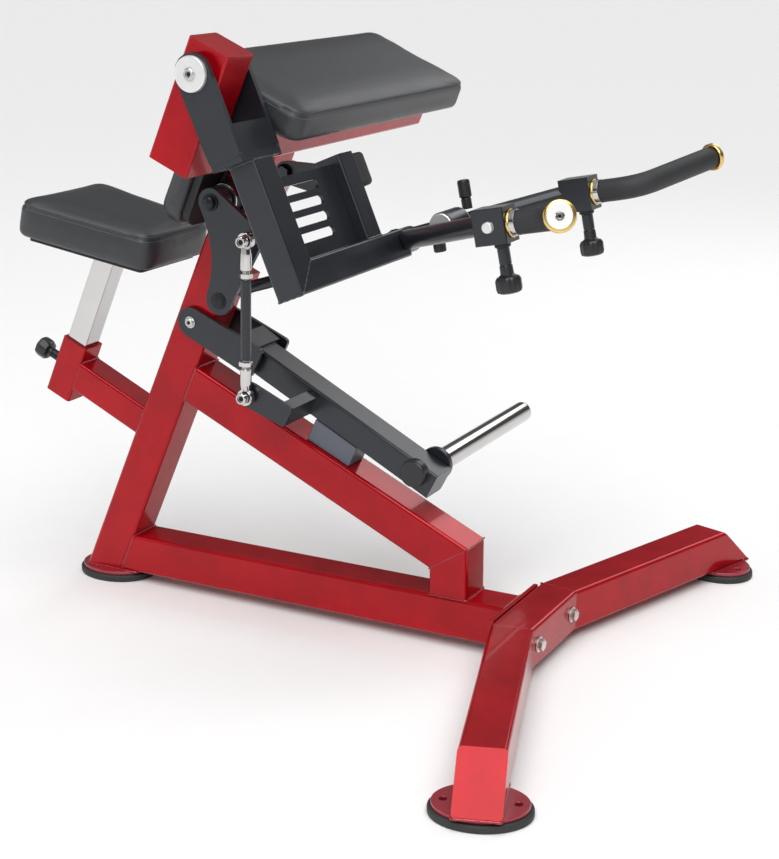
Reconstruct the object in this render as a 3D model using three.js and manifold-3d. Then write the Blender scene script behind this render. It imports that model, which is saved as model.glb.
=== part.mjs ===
// Plate-loaded seated arm-curl machine with a red tube frame, a swinging arm, a bell-crank
// linkage and a weight lever. Millimetres. +X runs forward from the seat to the handles,
// +Y is the side of the weight horn, +Z is up. The floor is z = 0 and y = 0 is the middle plane.
import * as THREE from 'three';
import Module from 'manifold-3d';
import { mergeVertices } from 'three/addons/utils/BufferGeometryUtils.js';

const wasm = await Module();
wasm.setup();

// ---------------------------------------------------------------- driving dimensions
const GAP = 0.35; // clearance kept between pieces that touch
const ORIGIN_X = 463.96; // moves the origin under the middle of the outline
const TUBE = 76; // square frame tube
const TUBE_R = 7; // outer corner radius of the frame tube
const FLOOR_GAP = 21; // underside of the base tubes above the floor
const BASE_TOP = FLOOR_GAP + TUBE;

const LEAN = THREE.MathUtils.degToRad(24); // upright, pivot post and seat post lean forward
const UPRIGHT_W = -881.5; // centre of the upright, measured across its lean
const UPRIGHT_TOP = 680;
const BEAM_W = -832; // centre of the pad beam and of the pivot post
const BEAM_BOTTOM = 604;
const POST_TOP = 811;
const POST_Y = [-400, -324]; // side faces of the pivot post

const BRACE_TILT = THREE.MathUtils.degToRad(25.15); // brace and seat bracket slope
const BRACE_H = 71.3; // centre of the brace along its normal
const BRACKET_H = -62.9; // centre of the seat bracket along the same normal
const LEG_X = [-232, -156]; // front and rear of the short leg under the brace

const SEAT_W = -1113; // seat post axis, measured across the lean
const SLEEVE = [-101, 20]; // sleeve ends along the lean
const SLEEVE_SIZE = 57;
const SEAT_POST = 44.4;
const SEAT_TILT = THREE.MathUtils.degToRad(10.3);
const SEAT_CENTRE = [-909, 731];
const SEAT_PLAN = [147, 130, 112, 32]; // half length, rear and front half widths, corner radius
const SEAT_PAD_H = [-61.5, 14]; // underside and top of the seat pad from its centre
const BOARD_T = 9.5; // plywood under the seat pad

const ARM_PAD_W = -808; // middle of the arm pad, measured across the lean
const ARM_PAD_Y = 12;
const ARM_PAD = [228, 612]; // fore-and-aft and sideways size
const ARM_PAD_S = [700, 757]; // underside and top along the lean
const CHEST_S = 510; // middle of the chest pad along the lean

const SPLAY = THREE.MathUtils.degToRad(18.7); // forward splay of each front leg
const CROSS_Y = 98; // half width of the straight middle of the front cross member
const LEG_TOP_END = 455; // length of a front leg along its top
const LEG_FOOT_END = 540; // and along its underside
const FOOT_T = 478; // foot centre along the leg

const ARM_TILT = THREE.MathUtils.degToRad(22.75); // hanging arm, forward of straight down
const PIVOT_S = 767; // arm pivot along the lean
const CHEEKS = [[-420, -411], [-313, -304]]; // the two cheek plates of the arm yoke
const ARM_FRONT = 31; // front face of the arm tubes, forward of the pivot
const ARM_BACK = -19;
const DOWN_Y = [-388, -331];
const ARM_BOTTOM = 372; // underside of the cross tube below the pivot
const CROSS_TOP = 322;
const CROSS_END_Y = -20;
const AXLE_BORE = 12.9; // clearance hole of the arm pivot pin
const STOP_POST_Y = [-141, -93];
const STOP_POST_TOP = 173;

const LEVER_TILT = THREE.MathUtils.degToRad(27.6);
const LEVER_S = 207; // lever pivot on the upright, along the lean
const LEVER_END = 551;
const LEVER_BORE = 10.4;

const ROCKER_C = [-623, 787]; // rocker pivot
const ROCKER_D = [-612, 612]; // drive link pin on the rocker
const ROCKER_E = [-540, 729]; // tie rod pin on the rocker
const CRANK_B = [-470, 850]; // drive link pin on the arm
const LEVER_G = [-548, 448]; // tie rod pin on the lever
const LINK_Y = -95; // plane of the drive link
const TIE_Y = -135.5; // plane of the tie rod
const LOW_HEAD = 4.6; // bolt head that the tie rod passes over

const HANDLE_PITCH = THREE.MathUtils.degToRad(11);
const BLOCK_CENTRE = [-50, 177.5, 803];
const GRIP_R = 19.8;
const CORE_R = 14; // bar inside the foam grip
const REACH = 186; // straight outer length of a handle
const SWEEP = THREE.MathUtils.degToRad(24); // forward sweep of the outer length
const RISE = 0.1; // and its rise

// ---------------------------------------------------------------- materials
const RED = { color: 0xa40c1c, roughness: 0.22, metalness: 0.35 };
const BLACK = { color: 0x3a3f46, roughness: 0.42, metalness: 0.3 };
const CHROME = { color: 0xd9dadb, roughness: 0.12, metalness: 1 };
const ZINC = { color: 0xc3c6c9, roughness: 0.3, metalness: 0.9 };
const VINYL = { color: 0x24262a, roughness: 0.55, metalness: 0 };
const BOARD = { color: 0x17181a, roughness: 0.7, metalness: 0 };
const RUBBER = { color: 0x1c1d1f, roughness: 0.8, metalness: 0 };
const PLASTIC = { color: 0x1f2023, roughness: 0.5, metalness: 0 };

// ---------------------------------------------------------------- frames of reference
const V = (x, y, z) => new THREE.Vector3(x, y, z);
const AXIS_Y = V(0, 1, 0);

// A pair of directions in the XZ plane: `along`, and `out` a quarter turn from it.
function slopedFrame(origin, along, out) {
  const at = (a, y, b) => origin.clone().addScaledVector(along, a).addScaledVector(out, b).setY(y);
  return { origin, along, out, at };
}

const upDir = V(Math.sin(LEAN), 0, Math.cos(LEAN));
const foreDir = V(Math.cos(LEAN), 0, -Math.sin(LEAN));
const lean = slopedFrame(V(0, 0, 0), foreDir, upDir); // at(w, y, s)
const braceFrame = slopedFrame(
  V(0, 0, 0),
  V(Math.cos(BRACE_TILT), 0, -Math.sin(BRACE_TILT)),
  V(Math.sin(BRACE_TILT), 0, Math.cos(BRACE_TILT)),
);
const pivotA = lean.at(BEAM_W, 0, PIVOT_S);
const arm = slopedFrame(
  pivotA,
  V(Math.sin(ARM_TILT), 0, -Math.cos(ARM_TILT)),
  V(Math.cos(ARM_TILT), 0, Math.sin(ARM_TILT)),
); // at(down, y, forward)
const pivotL = lean.at(UPRIGHT_W, 0, LEVER_S);
const lever = slopedFrame(
  pivotL,
  V(Math.cos(LEVER_TILT), 0, -Math.sin(LEVER_TILT)),
  V(Math.sin(LEVER_TILT), 0, Math.cos(LEVER_TILT)),
);
const seat = slopedFrame(
  V(SEAT_CENTRE[0], 0, SEAT_CENTRE[1]),
  V(Math.cos(SEAT_TILT), 0, -Math.sin(SEAT_TILT)),
  V(Math.sin(SEAT_TILT), 0, Math.cos(SEAT_TILT)),
);
const grip = slopedFrame(
  V(BLOCK_CENTRE[0], 0, BLOCK_CENTRE[2]),
  V(Math.cos(HANDLE_PITCH), 0, Math.sin(HANDLE_PITCH)),
  V(-Math.sin(HANDLE_PITCH), 0, Math.cos(HANDLE_PITCH)),
);

// ---------------------------------------------------------------- solids
function toSolid(geometry) {
  const bare = geometry.clone();
  bare.deleteAttribute('normal');
  bare.deleteAttribute('uv');
  const merged = mergeVertices(bare, 1e-4);
  const triVerts = new Uint32Array(merged.index.array);
  if (signedVolume(merged.attributes.position.array, triVerts) < 0) {
    for (let i = 0; i < triVerts.length; i += 3) {
      [triVerts[i], triVerts[i + 1]] = [triVerts[i + 1], triVerts[i]];
    }
  }
  const vertProperties = new Float32Array(merged.attributes.position.array);
  return new wasm.Manifold(new wasm.Mesh({ numProp: 3, vertProperties, triVerts }));
}

function signedVolume(p, t) {
  let sum = 0;
  for (let i = 0; i < t.length; i += 3) {
    const [a, b, c] = [t[i] * 3, t[i + 1] * 3, t[i + 2] * 3];
    sum += p[a] * (p[b + 1] * p[c + 2] - p[b + 2] * p[c + 1]);
    sum += p[a + 1] * (p[b + 2] * p[c] - p[b] * p[c + 2]);
    sum += p[a + 2] * (p[b] * p[c + 1] - p[b + 1] * p[c]);
  }
  return sum;
}

function toGeometry(solid) {
  const mesh = solid.getMesh();
  const geometry = new THREE.BufferGeometry();
  geometry.setAttribute('position', new THREE.BufferAttribute(new Float32Array(mesh.vertProperties), 3));
  geometry.setIndex(new THREE.BufferAttribute(new Uint32Array(mesh.triVerts), 1));
  geometry.computeVertexNormals();
  return geometry;
}

const join = (first, ...rest) => rest.reduce((sum, next) => sum.add(next), first);
const cut = (first, ...rest) => rest.reduce((sum, next) => sum.subtract(next), first);

function basis(origin, x, y) {
  const z = new THREE.Vector3().crossVectors(x, y);
  return new THREE.Matrix4().makeBasis(x, y, z).setPosition(origin);
}

function roundedRect(width, height, radius) {
  const shape = new THREE.Shape();
  const [x, y] = [width / 2 - radius, height / 2 - radius];
  shape.absarc(x, y, radius, 0, Math.PI / 2);
  shape.absarc(-x, y, radius, Math.PI / 2, Math.PI);
  shape.absarc(-x, -y, radius, Math.PI, Math.PI * 1.5);
  shape.absarc(x, -y, radius, Math.PI * 1.5, Math.PI * 2);
  shape.closePath();
  return shape;
}

function extruded(shape, depth, curveSegments = 4) {
  return new THREE.ExtrudeGeometry(shape, { depth, bevelEnabled: false, curveSegments });
}

// Straight bar from one point to another: `width` lies along Y, `height` across it.
function bar(from, to, width, height, radius) {
  const z = to.clone().sub(from);
  const length = z.length();
  z.normalize();
  const y = new THREE.Vector3().crossVectors(z, AXIS_Y).normalize();
  return toSolid(extruded(roundedRect(width, height, radius), length, 3).applyMatrix4(basis(from, AXIS_Y, y)));
}

const polygon = (corners) => new THREE.Shape(corners.map(([a, b]) => new THREE.Vector2(a, b)));

// Flat plate whose outline is drawn in a sloped frame, spanning y0 to y1.
function plate(frame, outline, y0, y1, curveSegments = 6) {
  const shape = Array.isArray(outline) ? polygon(outline) : outline;
  const geometry = extruded(shape, y1 - y0, curveSegments);
  const z = new THREE.Vector3().crossVectors(frame.along, frame.out);
  const start = frame.origin.clone().setY(z.y > 0 ? y0 : y1);
  return toSolid(geometry.applyMatrix4(basis(start, frame.along, frame.out)));
}

// Box in a sloped frame.
const block = (frame, [a0, a1], [y0, y1], [b0, b1]) =>
  plate(frame, [[a0, b0], [a1, b0], [a1, b1], [a0, b1]], y0, y1);

const world = slopedFrame(V(0, 0, 0), V(1, 0, 0), V(0, 0, 1));

// Turned piece: profile of [radius, distance] pairs along an axis through `origin`.
function turned(origin, axis, profile, segments = 22) {
  const points = profile.map(([r, h]) => new THREE.Vector2(r, h));
  const geometry = new THREE.LatheGeometry(points, segments);
  const turn = new THREE.Quaternion().setFromUnitVectors(AXIS_Y, axis.clone().normalize());
  return toSolid(geometry.applyQuaternion(turn).translate(origin.x, origin.y, origin.z));
}

function cylinder(origin, axis, radius, h0, h1, segments = 22) {
  return turned(origin, axis, [[0, h0], [radius, h0], [radius, h1], [0, h1]], segments);
}

function ring(origin, axis, inner, outer, h0, h1, segments = 22) {
  return turned(origin, axis, [[inner, h0], [outer, h0], [outer, h1], [inner, h1], [inner, h0]], segments);
}

const hexPrism = (origin, axis, radius, h0, h1) => cylinder(origin, axis, radius, h0, h1, 6);

// Convex outline around a set of [x, y, radius] discs.
function hullOutline(discs) {
  const steps = 16;
  const points = [];
  for (const [x, y, r] of discs) {
    for (let i = 0; i < steps; i += 1) {
      const angle = (i / steps) * Math.PI * 2;
      points.push(new THREE.Vector2(x + r * Math.cos(angle), y + r * Math.sin(angle)));
    }
  }
  points.sort((p, q) => p.x - q.x || p.y - q.y);
  const lower = halfHull(points);
  const upper = halfHull([...points].reverse());
  return new THREE.Shape([...lower.slice(0, -1), ...upper.slice(0, -1)]);
}

function halfHull(points) {
  const hull = [];
  for (const p of points) {
    while (hull.length > 1 && turnOf(hull.at(-2), hull.at(-1), p) <= 1e-6) {
      hull.pop();
    }
    hull.push(p);
  }
  return hull;
}

const turnOf = (a, b, c) => (b.x - a.x) * (c.y - a.y) - (b.y - a.y) * (c.x - a.x);

const model = new THREE.Group();
model.position.x = ORIGIN_X;

function addPart(name, solid, look) {
  const mesh = new THREE.Mesh(toGeometry(solid), new THREE.MeshStandardMaterial(look));
  mesh.name = name;
  model.add(mesh);
}

// ---------------------------------------------------------------- base and front legs
function addBase() {
  const far = 2000;
  const beyondUpright = block(lean, [-far, UPRIGHT_W + TUBE / 2 + GAP], [-60, 60], [-far, far]);
  const baseMiddle = FLOOR_GAP + TUBE / 2;
  const base = bar(V(-1000, 0, baseMiddle), V(-TUBE - 4, 0, baseMiddle), TUBE, TUBE, TUBE_R);
  const flange = block(world, [-TUBE - 8, -TUBE - GAP], [-CROSS_Y, CROSS_Y], [FLOOR_GAP + 4, BASE_TOP]);
  addPart('base_tube', join(cut(base, beyondUpright), flange), RED);
  addPart('front_cross_tube', frontCross(), RED);
  for (const [side, name] of [[-1, 'near'], [1, 'far']]) {
    addPart(`front_leg_${name}`, frontLeg(side), RED);
    addPart(`front_foot_${name}`, foot(legPoint(side, FOOT_T), side * SPLAY), RUBBER);
    addPart(`cross_bolt_${name}`, crossBolt(side * 75), ZINC);
  }
  addPart('rear_foot', foot(V(-948, 0, 0), 0), RUBBER);
}

function legPoint(side, t) {
  return V(-TUBE / 2 + t * Math.sin(SPLAY), side * (CROSS_Y + 6 + t * Math.cos(SPLAY)), 0);
}

function frontCross() {
  const middle = FLOOR_GAP + TUBE / 2;
  const tube = toSolid(extruded(roundedRect(TUBE, TUBE, TUBE_R), 2 * CROSS_Y + 40, 3).applyMatrix4(
    basis(V(-TUBE / 2, -CROSS_Y - 20, middle), V(0, 0, 1), V(1, 0, 0)),
  ));
  return cut(tube, mitreWedge(1, 0), mitreWedge(-1, 0));
}

// Everything beyond (or, flipped, before) the mitre between the cross tube and a leg.
function mitreWedge(side, flip) {
  const half = SPLAY / 2;
  const along = V(Math.sin(half), side * Math.cos(half), 0);
  const start = V(-TUBE / 2, side * (CROSS_Y + 6), 0).addScaledVector(along, flip ? GAP / 2 : -GAP / 2);
  const box = new THREE.BoxGeometry(400, 400, 400);
  box.translate(0, flip ? -200 : 200, 0);
  const x = V(Math.cos(half), -side * Math.sin(half), 0);
  return toSolid(box.applyMatrix4(basis(start, x.multiplyScalar(side), along)));
}

function frontLeg(side) {
  const along = V(Math.sin(SPLAY), side * Math.cos(SPLAY), 0);
  const across = V(Math.cos(SPLAY), -side * Math.sin(SPLAY), 0);
  const middle = FLOOR_GAP + TUBE / 2;
  const start = legPoint(side, -60).setZ(middle);
  const x = across.clone().multiplyScalar(side);
  const y = new THREE.Vector3().crossVectors(along, x);
  const tube = toSolid(extruded(roundedRect(TUBE, TUBE, TUBE_R), 720, 3).applyMatrix4(basis(start, x, y)));
  const outer = new THREE.Shape([
    new THREE.Vector2(LEG_FOOT_END, FLOOR_GAP - 1),
    new THREE.Vector2(900, FLOOR_GAP - 1),
    new THREE.Vector2(900, BASE_TOP + 1),
    new THREE.Vector2(LEG_TOP_END, BASE_TOP + 1),
  ]);
  const slant = extruded(outer, 400).applyMatrix4(
    basis(legPoint(side, 0).addScaledVector(across, side > 0 ? -200 : 200), along, V(0, 0, 1)),
  );
  return cut(tube, mitreWedge(side, 1), toSolid(slant));
}

// Oval rubber foot under a smaller steel plate, both bored for two screws.
function foot(centre, turn) {
  const pad = extruded(footOutline(80, 63), 12, 9);
  const plateOnTop = extruded(footOutline(77, 60), 9.2, 9).translate(0, 0, 11.4);
  const holes = [-56, 56].map((x) => cylinder(V(x, 0, 0), V(0, 0, 1), 6, 6, 40, 12));
  const solid = cut(join(toSolid(pad), toSolid(plateOnTop)), ...holes);
  return solid.rotate([0, 0, -THREE.MathUtils.radToDeg(turn)]).translate([centre.x, centre.y, 0]);
}

function footOutline(halfLength, halfWidth) {
  const shape = new THREE.Shape();
  shape.absellipse(0, 0, halfLength, halfWidth, 0, Math.PI * 2);
  return shape;
}

function crossBolt(y) {
  const origin = V(0, y, 61);
  const washer = cylinder(origin, V(1, 0, 0), 15, GAP, 3);
  return join(washer, hexPrism(origin, V(1, 0, 0), 11, 2.8, 12));
}

// ---------------------------------------------------------------- upright, brace and beams
function addColumn() {
  const ground = block(world, [-2000, 2000], [-100, 100], [-500, FLOOR_GAP]);
  const beamRoom = block(lean, [BEAM_W - TUBE / 2 - GAP, 0], [-100, 100], [BEAM_BOTTOM - GAP, 900]);
  const upright = bar(lean.at(UPRIGHT_W, 0, -460), lean.at(UPRIGHT_W, 0, UPRIGHT_TOP), TUBE, TUBE, TUBE_R);
  const leverHole = cylinder(pivotL, AXIS_Y, LEVER_BORE, -60, 60, 24);
  addPart('upright_tube', cut(upright, ground, beamRoom, leverHole), RED);

  const beforeUpright = block(lean, [-2000, UPRIGHT_W + TUBE / 2 + GAP], [-100, 100], [-1500, 1500]);
  const brace = bar(braceFrame.at(-1100, 0, BRACE_H), braceFrame.at(100, 0, BRACE_H), TUBE, TUBE, TUBE_R);
  const [top, inner] = mitreLine();
  const left = inner[0] - 1;
  const front = [[top[0], 900], [900, 900], [900, -900]];
  const beyond = plate(world, [top, ...front, [left, -900], [left, inner[1]]], -100, 100);
  addPart('brace_tube', cut(brace, beforeUpright, beyond), RED);
  const legX = (LEG_X[0] + LEG_X[1]) / 2;
  const leg = bar(V(legX, 0, BASE_TOP + GAP), V(legX, 0, 400), TUBE, TUBE, TUBE_R);
  const overLeg = [
    [top[0] + 50, top[1] - GAP + 31],
    [top[0], top[1] - GAP],
    [inner[0], inner[1] - GAP],
    [inner[0] - 50, inner[1] - GAP - 31],
    [-500, 900],
    [200, 900],
  ];
  const above = plate(world, overLeg, -100, 100);
  addPart('brace_leg', cut(leg, above), RED);

  const beamMid = BEAM_BOTTOM + TUBE / 2;
  const beamLength = 400 - POST_Y[1] - GAP;
  const beamTube = toSolid(extruded(roundedRect(TUBE, TUBE, TUBE_R), beamLength, 3).applyMatrix4(
    basis(lean.at(BEAM_W, POST_Y[1] + GAP, beamMid), upDir, foreDir),
  ));
  addPart('pad_beam', beamTube, RED);
  const postY = (POST_Y[0] + POST_Y[1]) / 2;
  const post = bar(lean.at(BEAM_W, 0, BEAM_BOTTOM), lean.at(BEAM_W, 0, POST_TOP), TUBE, TUBE, 4)
    .translate([0, postY, 0]);
  const bush = cylinder(pivotA, AXIS_Y, 25, CHEEKS[0][1] + GAP, CHEEKS[1][0] - GAP, 24);
  const axleHole = cylinder(pivotA.clone().setY(-450), AXIS_Y, AXLE_BORE, 0, 300, 24);
  addPart('pivot_post', cut(join(post, bush), axleHole), RED);
}

// Ends of the mitre between the brace and its leg: top front corner and lower rear corner.
function mitreLine() {
  const z = (x, h) => (h - x * Math.sin(BRACE_TILT)) / Math.cos(BRACE_TILT);
  return [[LEG_X[1], z(LEG_X[1], BRACE_H + TUBE / 2)], [LEG_X[0], z(LEG_X[0], BRACE_H - TUBE / 2)]];
}

// ---------------------------------------------------------------- seat
function addSeat() {
  const sleeveFront = SEAT_W + SLEEVE_SIZE / 2;
  const bracket = bar(braceFrame.at(-1300, 0, BRACKET_H), braceFrame.at(-600, 0, BRACKET_H), 60, 60, 6);
  const behind = block(lean, [-2000, sleeveFront + GAP], [-60, 60], [-900, 900]);
  const ahead = block(lean, [UPRIGHT_W - TUBE / 2 - GAP, 900], [-60, 60], [-900, 900]);
  addPart('seat_bracket_tube', cut(bracket, behind, ahead), RED);

  const [low, high] = SLEEVE;
  const outer = bar(lean.at(SEAT_W, 0, low), lean.at(SEAT_W, 0, high), SLEEVE_SIZE, SLEEVE_SIZE, 5);
  const boreSize = SEAT_POST + 1;
  const bore = bar(lean.at(SEAT_W, 0, low - 5), lean.at(SEAT_W, 0, high + 5), boreSize, boreSize, 3);
  const pinAxis = foreDir.clone().negate();
  const pinBase = lean.at(SEAT_W - SLEEVE_SIZE / 2, 0, -43);
  const barrel = turned(pinBase, pinAxis, [[0, -2], [12, -2], [12, 8], [9, 9], [9, 26], [0, 26]], 24);
  const pinHole = cylinder(pinBase, pinAxis, 5.4, -20, 40, 24);
  addPart('seat_sleeve', cut(join(outer, barrel), bore, pinHole), RED);

  const post = bar(lean.at(SEAT_W, 0, -95), lean.at(SEAT_W, 0, 320), SEAT_POST, SEAT_POST, 3);
  const boardBottom = SEAT_PAD_H[0] - GAP - BOARD_T;
  const plateTop = boardBottom - GAP;
  const overPlate = block(seat, [-400, 400], [-60, 60], [plateTop - 6, 400]);
  const topPlate = block(seat, [-85, 75], [-55, 55], [plateTop - 6.5, plateTop]);
  addPart('seat_post', join(cut(post, overPlate), topPlate), CHROME);
  addPart('seat_board', seatSlab(24, boardBottom, boardBottom + BOARD_T), BOARD);
  addPart('seat_pad', seatSlab(0, ...SEAT_PAD_H), VINYL);

  const knob = [[0, -5], [5, -5], [5, 27], [10, 28], [19, 34], [21, 44], [19, 56], [13, 61], [0, 62]];
  addPart('seat_pin', turned(pinBase, pinAxis, knob, 24), PLASTIC);
}

// Seat plan: a rounded shape, wider at the back.
function seatOutline(inset) {
  const shape = new THREE.Shape();
  const [len, rear, front, r] = SEAT_PLAN.map((size) => size - inset);
  shape.absarc(len - r, front - r, r, 0, Math.PI / 2);
  shape.absarc(-len + r, rear - r, r, Math.PI / 2, Math.PI);
  shape.absarc(-len + r, -rear + r, r, Math.PI, Math.PI * 1.5);
  shape.absarc(len - r, -front + r, r, Math.PI * 1.5, Math.PI * 2);
  shape.closePath();
  return shape;
}

function seatSlab(inset, h0, h1) {
  const slab = extruded(seatOutline(inset), h1 - h0, 6);
  return toSolid(slab.applyMatrix4(basis(seat.at(0, 0, h0), seat.along, AXIS_Y)));
}

// ---------------------------------------------------------------- chest pad and arm pad
function addPads() {
  const rear = UPRIGHT_W - TUBE / 2;
  const chestPlate = block(lean, [rear - 9, rear - GAP], [-36, 36], [450, 590]);
  const chestBoard = padSlab(CHEST_S, 0, [236, 206], 28, [rear - 23, rear - 8], 'w');
  addPart('chest_board', join(chestBoard, chestPlate), BOARD);
  addPart('chest_pad', padSlab(CHEST_S, 0, [260, 230], 40, [rear - 70, rear - 23 - GAP], 'w'), VINYL);
  const boardS = [UPRIGHT_TOP + GAP, ARM_PAD_S[0] - GAP];
  addPart('arm_board', padSlab(ARM_PAD_W - 6, ARM_PAD_Y, [120, 500], 12, boardS, 's'), BOARD);
  addPart('arm_pad', padSlab(ARM_PAD_W, ARM_PAD_Y, ARM_PAD, 30, ARM_PAD_S, 's'), VINYL);
}

// Slab with rounded corners in the lean's frame: a 'w' slab faces fore and aft, an 's' slab faces up.
function padSlab(centre, y, [length, width], radius, [t0, t1], facing) {
  const shape = roundedRect(length, width, radius);
  const geometry = extruded(shape, t1 - t0, 5);
  const isTop = facing === 's';
  const origin = isTop ? lean.at(centre, y, t0) : lean.at(t0, y, centre);
  const x = isTop ? lean.along : lean.out;
  const side = isTop ? AXIS_Y : AXIS_Y.clone().negate();
  return toSolid(geometry.applyMatrix4(basis(origin, x, side)));
}

// ---------------------------------------------------------------- swinging arm
function addArm() {
  const cheek = hullOutline([[0, 0, 32], [112, -1, 28], [135, -22, 6], [135, 26, 6]]);
  const holed = (solid) => cut(solid, cylinder(pivotA.clone().setY(-500), AXIS_Y, AXLE_BORE, 0, 400, 24));
  const cheeks = CHEEKS.map(([y0, y1]) => holed(plate(arm, cheek, y0, y1)));
  const web = block(arm, [91, 141], [CHEEKS[0][0] + 4, CHEEKS[1][1] - 4], [ARM_BACK, ARM_FRONT - 2]);
  const flange = block(arm, [138, 150.5], [-419, -305], [-27, 31]);
  addPart('arm_yoke', join(...cheeks, web, flange), BLACK);
  addPart('arm_axle', armAxle(), ZINC);

  const downMid = (DOWN_Y[0] + DOWN_Y[1]) / 2;
  const depthMid = (ARM_FRONT + ARM_BACK) / 2;
  const depth = ARM_FRONT - ARM_BACK;
  const down = bar(arm.at(151, 0, depthMid), arm.at(ARM_BOTTOM, 0, depthMid), DOWN_Y[1] - DOWN_Y[0], depth, 4)
    .translate([0, downMid, 0]);
  const crossMid = (CROSS_TOP + ARM_BOTTOM) / 2;
  const crossLength = CROSS_END_Y - DOWN_Y[0];
  const crossShape = roundedRect(depth, ARM_BOTTOM - CROSS_TOP, 4);
  const cross = toSolid(extruded(crossShape, crossLength, 3).applyMatrix4(
    basis(arm.at(crossMid, DOWN_Y[0], depthMid), arm.out, arm.along),
  ));
  addPart('arm_down_tube', cut(down, armMitre(GAP / 2, 1)), BLACK);
  addPart('arm_cross_tube', cut(cross, armMitre(-GAP / 2, -1)), BLACK);
  addPart('arm_gusset', gusset(), BLACK);
  const width = STOP_POST_Y[1] - STOP_POST_Y[0];
  const post = bar(arm.at(STOP_POST_TOP, 0, depthMid), arm.at(CROSS_TOP - GAP, 0, depthMid), width, 50, 4)
    .translate([0, (STOP_POST_Y[0] + STOP_POST_Y[1]) / 2, 0]);
  addPart('stop_post', join(post, driveCrank()), BLACK);
  addPart('stop_post_bumper', postBumper(), RUBBER);
}

// Rounded rubber block on the far face of the stop post.
function postBumper() {
  const shape = roundedRect(46, 58, 7);
  const start = arm.at(206, STOP_POST_Y[1] + GAP, 9);
  return toSolid(extruded(shape, 31, 3).applyMatrix4(basis(start, arm.out, arm.along)));
}

// Pivot pin of the arm, captive between a wide cap on each cheek.
function armAxle() {
  const shaft = cylinder(pivotA, AXIS_Y, 12.5, CHEEKS[0][0] - 2, CHEEKS[1][1] + 2, 24);
  const nearCap = [[0, GAP], [28, GAP], [28, 5.5], [26.5, 7], [9, 7], [8.5, 11], [4, 11], [4, 8], [0, 8]];
  const farCap = [[0, GAP], [28, GAP], [28, 3.5], [26.5, 5], [0, 5]];
  return join(
    shaft,
    turned(pivotA.clone().setY(CHEEKS[0][0]), V(0, -1, 0), nearCap),
    turned(pivotA.clone().setY(CHEEKS[1][1]), AXIS_Y, farCap),
  );
}

// Half space beyond the mitre of the arm's elbow, drawn in the plane of the arm's front face.
function armMitre(offset, side) {
  const [y0, y1] = DOWN_Y;
  const shape = new THREE.Shape();
  const slope = (ARM_BOTTOM - CROSS_TOP) / (y1 - y0);
  const line = (y) => ARM_BOTTOM - (y - y0) * slope - offset * 1.4;
  shape.moveTo(-700, line(-700));
  shape.lineTo(200, line(200));
  shape.lineTo(200, side > 0 ? 2500 : -2500);
  shape.lineTo(-700, side > 0 ? 2500 : -2500);
  shape.closePath();
  const geometry = extruded(shape, 200);
  const origin = arm.origin.clone().setY(0).addScaledVector(arm.out, -100);
  return toSolid(geometry.applyMatrix4(armFace(origin)));
}

// Matrix that lays a drawing (sideways, down) in the plane of the arm's front face.
const armFace = (origin) => new THREE.Matrix4().makeBasis(AXIS_Y, arm.along, arm.out).setPosition(origin);

// Plate between the down tube and the stop post, with four long slots.
function gusset() {
  const [y0, y1] = [DOWN_Y[1] + GAP, STOP_POST_Y[0] - GAP];
  const [top, bottom] = [185, CROSS_TOP - GAP];
  const shape = new THREE.Shape();
  shape.moveTo(y0, top);
  shape.lineTo(y1, top);
  shape.lineTo(y1, bottom);
  shape.lineTo(y0, bottom);
  shape.closePath();
  for (const s of [209, 235.5, 262, 288.5]) {
    const slot = new THREE.Path();
    const [a, b, r] = [y0 + 15, y1 - 66, 7.5];
    slot.absarc(a, s, r, Math.PI / 2, Math.PI * 1.5);
    slot.absarc(b, s, r, Math.PI * 1.5, Math.PI * 2.5);
    slot.closePath();
    shape.holes.push(slot);
  }
  const origin = arm.origin.clone().setY(0).addScaledVector(arm.out, 5);
  return toSolid(extruded(shape, 6, 6).applyMatrix4(armFace(origin)));
}

// Ear behind the stop post that carries the drive link pin.
function driveCrank() {
  const rel = V(CRANK_B[0], 0, CRANK_B[1]).sub(V(pivotA.x, 0, pivotA.z));
  const [s, n] = [rel.dot(arm.along), rel.dot(arm.out)];
  const outline = hullOutline([[s, n, 19], [178, -30, 4], [228, -30, 4]]);
  const ear = plate(arm, outline, -118, -108);
  const root = block(arm, [176, 230], [-118, -108], [-32, ARM_BACK + 3]);
  return join(ear, root, boltHead(V(CRANK_B[0], -118, CRANK_B[1]), -1, 12));
}

function boltHead(origin, dir, radius, height = 9.5) {
  const axis = V(0, dir, 0);
  const washer = cylinder(origin, axis, radius + 3, 0, 2.4);
  return join(washer, hexPrism(origin, axis, radius, 2.2, height));
}

// ---------------------------------------------------------------- handles
const HUB = V(-305, 0, 726);

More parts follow.
